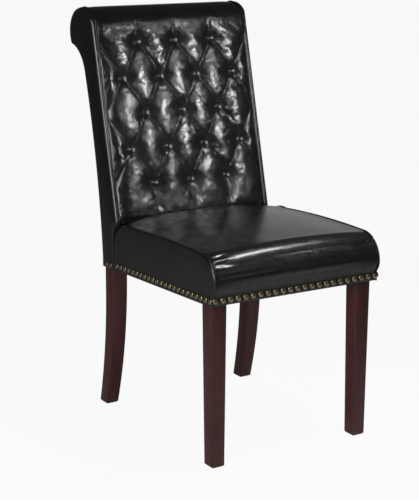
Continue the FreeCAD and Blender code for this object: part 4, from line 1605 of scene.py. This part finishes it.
@dataclass(frozen=True)
class SeatShape:
    """Side outline of the seat in its own axes, tilted back a little."""

    bottom: float = 391.8 * MM
    slope: float = math.radians(1.93)
    bulge: float = 12.29 * MM
    rear: float = 463.0 * MM
    side_height: float = 120.0 * MM
    crown: float = 16.0 * MM
    band: float = 25.0 * MM
    nose_radius: float = 52.0 * MM
    side_nose: float = 12.0 * MM
    cover_half: float = 226.0 * MM
    outer_half: float = 231.05 * MM

    def profile(self, fullness: float, draw: float = 0.0) -> np.ndarray:
        """Line up the front, over the nose, across the top and down the rear.

        Args:
            fullness: 0 at the side seams, 1 in the middle.
            draw: How far the line is drawn in.

        Returns:
            Depth and height of the points in the seat's own axes.
        """
        rise = self.side_height + self.crown * fullness - draw
        bulge = self.bulge - 2.0 * MM * (1 - fullness) - draw
        radius = self.nose_radius + self.side_nose * (1 - fullness) - draw
        nose_top = rise - (6.0 + 2.0 * fullness) * MM
        centre = nose_top - radius
        rear = self.rear - draw
        rear_start = (372.0 + 62.0 * fullness) * MM
        rear_end = (62.0 + 38.0 * fullness) * MM
        corner = math.sqrt(0.5)
        band_top = (draw, self.band)
        nose_low = (-bulge, centre)
        nose_high = (-bulge + radius, nose_top)
        top_rear = (rear_start, rise - MM)
        rear_low = (rear, rear_end)
        front_middle = (-bulge * 0.72, self.band + (centre - self.band) * 0.42)
        nose_middle = (-bulge + radius * (1 - corner), centre + radius * corner)
        top_middle = ((nose_high[0] + rear_start) / 2, rise + MM)
        rear_middle = (rear_start + (rear - rear_start) * 0.72, rear_end + (rise - rear_end) * 0.72)
        parts = [line_through((draw, 0.0), band_top, 6)[:-1],
                 arc_through(band_top, front_middle, nose_low, 9)[:-1],
                 arc_through(nose_low, nose_middle, nose_high, 19)[:-1],
                 arc_through(nose_high, top_middle, top_rear, 64)[:-1],
                 arc_through(top_rear, rear_middle, rear_low, 16)[:-1],
                 line_through(rear_low, (rear, 0.0), 12)]
        return np.concatenate(parts)

    def seated(self, x: np.ndarray, line: np.ndarray) -> np.ndarray:
        """Places in the frame of points in the seat's own axes.

        Args:
            x: Places across.
            line: Depth and height of each point.

        Returns:
            Places, one row each.
        """
        sine, cosine = math.sin(self.slope), math.cos(self.slope)
        y = line[:, 0] * cosine + line[:, 1] * sine + DEPTH_TO_Y
        z = -line[:, 0] * sine + line[:, 1] * cosine + self.bottom
        return np.column_stack([x, y, z])


@dataclass
class SeatCushion:
    """Crowned seat cover over its foam, tucked under the back, settled as padded leather."""

    shape: SeatShape
    back: BackShape
    columns: int = 88
    voxel: float = 5.6 * MM
    pressure: float = 4.0
    slack: float = -0.006
    cap: float = 5.0 * MM
    back_gap: float = 1.2 * MM

    def build(self) -> list[bpy.types.Object]:
        """Make the cushion.

        Returns:
            A list with the cushion.
        """
        cushion = self.make_form()
        self.settle_padding(cushion)
        settle(cushion, Finish.LEATHER, ["seat_cover", "seat_foam"])
        return [cushion]

    def fullness(self, x: float) -> float:
        """How full the cushion is at a place across it."""
        return 1 - abs(x / self.shape.cover_half) ** 3.4

    def make_form(self) -> bpy.types.Object:
        """Make the cushion's plain closed form.

        Returns:
            The form.
        """
        rings = []
        edge = np.linspace(-1, 1, self.columns)
        across = self.shape.cover_half * np.sign(edge) * (1 - (1 - np.abs(edge)) ** 1.15)
        for x in across:
            line = self.shape.profile(self.fullness(x))
            placed = self.shape.seated(np.full(len(line), x), line)
            face = np.array([self.back.front_depth(height) for height in placed[:, 2]]) + DEPTH_TO_Y
            placed[:, 1] = np.minimum(placed[:, 1], face - self.back_gap)
            rings.append(placed)
        return ring_form("seat_cushion", rings)

    def settle_padding(self, cushion: bpy.types.Object) -> None:
        """Even out the mesh, let the leather settle and smooth it once.

        Args:
            cushion: The plain form, changed in place.
        """
        apply_modifier(cushion, "REMESH", mode="VOXEL", voxel_size=self.voxel, use_smooth_shade=True)
        places = np.array([vertex.co[:] for vertex in cushion.data.vertices])
        sine, cosine = math.sin(self.shape.slope), math.cos(self.shape.slope)
        height = (places[:, 2] - self.shape.bottom) * cosine + (places[:, 1] - DEPTH_TO_Y) * sine
        edge = self.shape.cover_half
        low = 1 - smooth_step(20 * MM, 60 * MM, height)
        sides = smooth_step(edge - 7 * MM, edge - 2 * MM, np.abs(places[:, 0]))
        hold_points(cushion, np.maximum(low, sides))
        places += run_cloth(cushion, self.pressure, self.slack, self.cap)
        cushion.data.vertices.foreach_set("co", places.ravel())
        cushion.vertex_groups.clear()
        apply_modifier(cushion, "SUBSURF", levels=1, render_levels=1)
        shade_smooth(cushion.data)


def apply_modifier(piece: bpy.types.Object, kind: str, **settings: object) -> None:
    """Run one modifier on a piece and keep its result as the mesh.

    Args:
        piece: The object.
        kind: The modifier's type.
        **settings: Its properties.
    """
    modifier = piece.modifiers.new(kind, kind)
    for name, value in settings.items():
        setattr(modifier, name, value)
    view = bpy.context.evaluated_depsgraph_get()
    made = bpy.data.meshes.new_from_object(piece.evaluated_get(view))
    piece.modifiers.remove(modifier)
    piece.data = made


@dataclass
class SeatSides:
    """Side panels of the seat with a raised top seam and top stitches."""

    shape: SeatShape
    inner_half: float = 226.3 * MM
    edge_drop: float = 0.6 * MM
    roll_in: float = 4.2 * MM
    middle_span: Pair = (60.0 * MM, 410.0 * MM)
    middle_height: float = 48.0 * MM

    def build(self) -> list[bpy.types.Object]:
        """Make both panels, the seams and the stitches.

        Returns:
            The four pieces.
        """
        pieces = []
        for side, name in ((-1, "left"), (1, "right")):
            panel = self.make_panel(side, "seat_side_" + name)
            settle(panel, Finish.LEATHER, ["seat_side_panel_" + name])
            pieces.append(panel)
        lines = [self.seam_line(side, 0.4 * MM, 0.0) for side in (-1, 1)]
        seams = SeamBead(1.5 * MM).raise_along("seat_side_seams", lines)
        settle(seams, Finish.LEATHER)
        rows = [self.seam_line(side, 3.4 * MM, 5.4 * MM) for side in (-1, 1)]
        stitches = StitchRun().sew("seat_side_stitches", rows)
        settle(stitches, Finish.THREAD)
        return pieces + [seams, stitches]

    def seam_line(self, side: int, out: float, draw: float) -> np.ndarray:
        """Line along the top seam, from the front's foot over the nose to the rear."""
        line = self.shape.profile(0.0, draw)[2:-8]
        return self.shape.seated(np.full(len(line), side * (self.inner_half + out)), line)

    def make_panel(self, side: int, name: str) -> bpy.types.Object:
        """Make one panel.

        Args:
            side: -1 or 1.
            name: The piece's name.

        Returns:
            The panel as a closed form.
        """
        rings = []
        thick = self.shape.outer_half - self.inner_half - self.edge_drop
        for share in (0.0, 0.35, 0.7, 0.9, 1.0):
            turn = share * math.pi / 2
            line = self.shape.profile(0.0, self.roll_in * (1 - math.cos(turn)))
            half = np.full(len(line), self.inner_half + thick * math.sin(turn))
            rings.append(self.shape.seated(half, line))
        flat = self.shape.profile(0.0, self.roll_in)
        middle = np.column_stack([np.clip(flat[:, 0], *self.middle_span),
                                  np.full(len(flat), self.middle_height)])
        for share in (0.04, 0.10, 0.2, 0.34, 0.5, 0.66, 0.82, 0.94):
            line = flat * (1 - share) + middle * share
            waves = ripple(line[:, 0], line[:, 1], 120 * MM, 41 + side) * 0.5 * MM * min(1.0, share * 4)
            swell = self.edge_drop * smooth_step(0.0, 0.3, np.full(len(line), share))
            rings.append(self.shape.seated(self.inner_half + thick + swell + waves, line))
        return ring_form(name, rings, side)


@dataclass
class NailTrim:
    """Domed brass nails along the seat's bottom edge and the foot of the back's sides."""

    seat: SeatShape
    back: BackShape
    radius: float = 7.6 * MM
    height: float = 3.9 * MM
    rise: float = 13.0 * MM
    front_count: int = 23
    front_pitch: float = 20.2 * MM
    side_count: int = 23
    side_pitch: float = 19.8 * MM
    side_first: float = 7.0 * MM
    back_depths: Pair = (481.0 * MM, 500.5 * MM)

    def build(self) -> list[bpy.types.Object]:
        """Make the row of nails.

        Returns:
            A list with the nails as one piece.
        """
        places, facing = self.spots()
        nails = self.make_heads(marked_points("brass_nails", places, facing))
        settle(nails, Finish.BRASS, ["trim_nails"])
        return [nails]

    def spots(self) -> tuple[list[Sequence[float]], list[Vector]]:
        """Where the nails are and which way each one faces.

        Returns:
            The places and the directions, front first.
        """
        places, facing = [], []
        sine, cosine = math.sin(self.seat.slope), math.cos(self.seat.slope)
        for index in range(self.front_count):
            x = self.front_pitch * (index - (self.front_count - 1) / 2)
            places.append(self.seat.seated(np.array([x]), np.array([[0.0, self.rise]]))[0])
            facing.append(Vector((0, -cosine, sine)))
        for side in (-1, 1):
            for index in range(self.side_count):
                line = np.array([[self.side_first + self.side_pitch * index, self.rise]])
                places.append(self.seat.seated(np.array([side * self.seat.outer_half]), line)[0])
                facing.append(Vector((side, 0, 0)))
            for depth in self.back_depths:
                places.append((side * self.back.outer_half, depth + DEPTH_TO_Y, self.back.bottom + self.rise))
                facing.append(Vector((side, 0, 0)))
        return places, facing

    def make_heads(self, points: bpy.types.Object) -> bpy.types.Object:
        """Turn marked points into domed heads that know how near the rim each vertex is.

        Args:
            points: The marked points.

        Returns:
            The heads as one piece.
        """
        tree = GrowingTree("trim_nail_tree")
        radius = tree.size("Nail Radius", self.radius)
        height = tree.size("Nail Height", self.height)
        ball = tree.unit_ball(18, 14)
        place = tree.node("GeometryNodeInputPosition")
        parts = tree.node("ShaderNodeSeparateXYZ", Vector=place.outputs[0])
        x, y, z = parts.outputs
        lifted = tree.node("ShaderNodeCombineXYZ", X=x, Y=y, Z=tree.maths("MAXIMUM", z, 0.0))
        dome = tree.node("GeometryNodeSetPosition", Geometry=ball, Position=lifted.outputs[0])
        spread = tree.node("ShaderNodeCombineXYZ", X=x, Y=y)
        rim = tree.node("ShaderNodeVectorMath", {"operation": "LENGTH"}, i0=spread.outputs[0])
        marked = tree.node("GeometryNodeStoreNamedAttribute", {"data_type": "FLOAT", "domain": "POINT"},
                           Geometry=dome.outputs[0], Name="rim", Value=rim.outputs["Value"])
        copies = tree.marked_copies(tree.scaled(marked.outputs[0], radius, height))
        return tree.run(points, copies, Finish.BRASS)


# Legs and what stays from the frame

@dataclass(frozen=True)
class LegSection:
    """One level section of a right leg: a rectangle between its outer and front faces."""

    height: float
    outer: float
    front: float
    width: float
    depth: float

    def foot(self, height: float, chamfer: float) -> "LegSection":
        """The chamfered foot under this section."""
        return LegSection(height, self.outer - chamfer, self.front + chamfer, self.width - 2 * chamfer,
                          self.depth - 2 * chamfer)

    def ring(self, ease: float) -> np.ndarray:
        """Points round the section.

        Args:
            ease: Radius of its corners.

        Returns:
            Places in the frame, one row each.
        """
        right, left = self.outer - ease, self.outer - self.width + ease
        rear, front = self.front + self.depth - ease, self.front + ease
        points = []
        for x, depth, start in ((right, rear, 0), (left, rear, 90), (left, front, 180), (right, front, 270)):
            for turn in (0, 30, 60, 90):
                angle = math.radians(start + turn)
                y = depth + ease * math.sin(angle) + DEPTH_TO_Y
                points.append((x + ease * math.cos(angle), y, self.height))
        return np.array(points)


@dataclass
class Legs:
    """Tapered front legs and sabre rear legs with eased edges."""

    ease: float = 2.0 * MM
    glide: float = 2.5 * MM
    chamfer: float = 3.0 * MM
    sharp_angle: float = math.radians(35)
    front_top: float = 390.2 * MM
    rear_outer: float = 222.5 * MM
    rear_bend: float = 312.0 * MM
    rear_straight: float = 330.0 * MM

    def build(self) -> list[bpy.types.Object]:
        """Make the four legs.

        Returns:
            The legs.
        """
        pieces = []
        for side, name in ((-1, "left"), (1, "right")):
            front = self.make_leg("front_leg_shaped_" + name, self.front_sections(), side)
            settle(front, Finish.LEG_WOOD, ["front_leg_" + name])
            rear = self.make_leg("rear_leg_shaped_" + name, self.rear_sections(), side)
            settle(rear, Finish.LEG_WOOD, ["rear_leg_" + name])
            pieces += [front, rear]
        return pieces

    def front_sections(self) -> list[LegSection]:
        """Sections of a front leg, from the foot up the taper to the tongue inside the frame.

        Returns:
            The sections in order.
        """
        floor = self.glide + self.chamfer
        sections = []
        for share in np.linspace(0, 1, 12):
            height = floor + (self.front_top - floor) * share
            sections.append(LegSection(height, (217.7 + 3.7 * share) * MM, 17.4 * MM,
                                       (33.4 + 6.6 * share) * MM, (35.6 + 5.4 * share) * MM))
        sections.insert(0, sections[0].foot(self.glide, self.chamfer))
        for height in (390.3 * MM, 451.6 * MM):
            sections.append(LegSection(height, 203.7 * MM, 27.0 * MM, 22.0 * MM, 31.2 * MM))
        return sections

    def rear_sections(self) -> list[LegSection]:
        """Sections of a rear leg, from the swept foot up the bend to the tongue inside the back.

        Returns:
            The sections in order.
        """
        bend, floor, straight = self.rear_bend, self.glide + self.chamfer, self.rear_straight
        sections = []
        for height in (*np.linspace(floor, bend, 22), 340 * MM, 369.6 * MM):
            swept = max((bend - height) / (bend - floor), 0.0)
            taper = min(max((straight - height) / (straight - floor), 0.0), 1.0)
            front = (481.0 + 44.0 * swept ** 2) * MM
            rear = (522.3 + 38.7 * swept ** 2) * MM
            width = (40.4 - 6.0 * taper) * MM
            sections.append(LegSection(height, self.rear_outer, front, width, rear - front))
        sections.insert(0, sections[0].foot(self.glide, self.chamfer))
        for height in (369.7 * MM, 481.8 * MM):
            sections.append(LegSection(height, 199.6 * MM, 481.2 * MM, 17.4 * MM, 39.4 * MM))
        return sections

    def make_leg(self, name: str, sections: Sequence[LegSection], side: int) -> bpy.types.Object:
        """Skin a leg over its sections.

        Args:
            name: The piece's name.
            sections: The leg's sections from the foot up.
            side: -1 or 1.

        Returns:
            The leg.
        """
        leg = ring_form(name, [section.ring(self.ease) for section in sections], side)
        sharpen(leg, self.sharp_angle)
        return leg


def sharpen(piece: bpy.types.Object, angle: float) -> None:
    """Keep the shading sharp across edges that turn more than an angle.

    Args:
        piece: The object.
        angle: The least angle of a sharp edge.
    """
    shape = bmesh.new()
    shape.from_mesh(piece.data)
    for edge in shape.edges:
        if edge.is_manifold and edge.calc_face_angle(0.0) > angle:
            edge.smooth = False
    shape.to_mesh(piece.data)
    shape.free()


class CadDress:
    """Finishes for the CAD nodes that stay."""

    finishes = {finish.slot: finish for finish in Finish if finish is not Finish.THREAD}

    def build(self) -> None:
        """Give each CAD node the finish of its slot in the record."""
        for entry in frame["record"]["subparts"]:
            node = frame["nodes"].get(entry["node"])
            if node is None:
                continue
            finish = self.finishes[entry["material_slot"]]
            node.data.materials.clear()
            node.data.materials.append(finish.material)


# The studio

@dataclass
class Lamp:
    """One soft area lamp."""

    name: str
    place: Triple
    aim: Triple
    size: Pair
    power: float
    spread: float = 180.0

    def build(self) -> None:
        """Add the lamp to the scene."""
        data = bpy.data.lights.new(self.name, "AREA")
        data.shape = "RECTANGLE"
        data.size, data.size_y = self.size
        data.energy = self.power
        data.spread = math.radians(self.spread)
        lamp = linked(self.name, data)
        lamp.location = self.place
        way = Vector(self.aim) - Vector(self.place)
        lamp.rotation_euler = way.to_track_quat("-Z", "Y").to_euler()


@dataclass
class Studio:
    """Camera, lamps, pale floor and white surroundings."""

    azimuth: float = math.radians(-30.84)
    elevation: float = math.radians(13.77)
    distance: float = 3.64528
    target: Triple = (0.0, 0.16455, 0.38719)
    lens: float = 36 * 1410.39 / 500
    shift: Pair = ((209.5 - 184.91) / 500, (250.58 - 250.0) / 500)
    floor_half: float = 40.0
    floor_glow: float = 0.94
    surroundings: float = 0.05

    def build(self) -> None:
        """Make the whole studio."""
        self.make_camera()
        self.make_floor()
        self.make_world()
        lamps = [Lamp("near", (0.36, -0.50, 1.44), (0.30, -0.33, 0.48), (0.46, 0.11), 3.2, 105.0),
                 Lamp("middle", (0.64, -1.05, 1.16), (0, 0.15, 0.86), (0.07, 0.26), 0.72, 52.0),
                 Lamp("front", (0.95, -2.3, 1.5), (0, 0.1, 0.6), (0.5, 0.9), 0.8),
                 Lamp("fill", (-2.1, -1.5, 1.5), (0, 0.0, 0.5), (0.6, 1.6), 50.0),
                 Lamp("rear", (1.9, 2.6, 1.0), (0.1, -0.1, 0.5), (1.8, 1.6), 3.6)]
        for lamp in lamps:
            lamp.build()
        view = bpy.context.scene.view_settings
        view.view_transform = "Standard"

    def make_camera(self) -> None:
        """Set the camera at the photograph's viewing angle."""
        back = Vector((math.sin(self.azimuth) * math.cos(self.elevation),
                       -math.cos(self.azimuth) * math.cos(self.elevation), math.sin(self.elevation)))
        data = bpy.data.cameras.new("camera")
        data.lens = self.lens
        data.sensor_width = 36
        data.shift_x, data.shift_y = self.shift
        camera = linked("camera", data)
        camera.location = Vector(self.target) + back * self.distance
        camera.rotation_mode = "QUATERNION"
        camera.rotation_quaternion = (-back).to_track_quat("-Z", "Y")
        bpy.context.scene.camera = camera

    def make_floor(self) -> None:
        """Lay a plain pale floor that looks white and keeps the chair's shadow."""
        half = self.floor_half
        corners = np.array([(-half, -half, 0), (half, -half, 0), (half, half, 0), (-half, half, 0)])
        floor = mesh_object("floor", corners, [(0, 1, 2, 3)])
        sheet = NodeSheet("pale_floor")
        speck = sheet.noise(30.0, 2.0)
        tone = sheet.ramp(speck, (0.3, (0.62, 0.62, 0.62)), (0.7, (0.64, 0.64, 0.64)))
        sheet.dress(Base_Color=tone, Roughness=0.9)
        path = sheet.tree.nodes.new("ShaderNodeLightPath")
        glow = sheet.tree.nodes.new("ShaderNodeEmission")
        glow.inputs["Color"].default_value = (1, 1, 1, 1)
        glow.inputs["Strength"].default_value = 1.0
        blend = sheet.tree.nodes.new("ShaderNodeMixShader")
        sheet.feed(blend.inputs[0], Socket(sheet, path.outputs["Is Camera Ray"]) * self.floor_glow)
        sheet.tree.links.new(sheet.shader.outputs[0], blend.inputs[1])
        sheet.tree.links.new(glow.outputs[0], blend.inputs[2])
        sheet.tree.links.new(blend.outputs[0], sheet.output.inputs[0])
        floor.data.materials.append(sheet.material)

    def make_world(self) -> None:
        """Surround the chair with white that lights it only softly."""
        world = bpy.data.worlds.new("surroundings")
        bpy.context.scene.world = world
        world.use_nodes = True
        nodes, links = world.node_tree.nodes, world.node_tree.links
        nodes.clear()
        output = nodes.new("ShaderNodeOutputWorld")
        path = nodes.new("ShaderNodeLightPath")
        seen = nodes.new("ShaderNodeMath")
        seen.operation = "MAXIMUM"
        links.new(path.outputs["Is Camera Ray"], seen.inputs[0])
        links.new(path.outputs["Is Transmission Ray"], seen.inputs[1])
        blend = nodes.new("ShaderNodeMixShader")
        links.new(seen.outputs[0], blend.inputs[0])
        for slot, strength in ((1, self.surroundings), (2, 1.0)):
            white = nodes.new("ShaderNodeBackground")
            white.inputs["Strength"].default_value = strength
            white.inputs["Color"].default_value = (1, 1, 1, 1)
            links.new(white.outputs[0], blend.inputs[slot])
        links.new(blend.outputs[0], output.inputs[0])


def main() -> None:
    """Build the chair's sub-assemblies in order and report each piece."""
    logging.basicConfig(level=logging.INFO, format="%(name)s %(message)s")
    CadDress().build()
    back = BackShape()
    seat = SeatShape()
    makers = [TuftedBack(back), BackSides(back), OutsideBack(back), SeatCushion(seat, back), SeatSides(seat),
              NailTrim(seat, back), Legs()]
    for maker in makers:
        for piece in maker.build():
            log.info("made %s", piece.name)
    Studio().build()


if __name__ == "__main__":
    main()
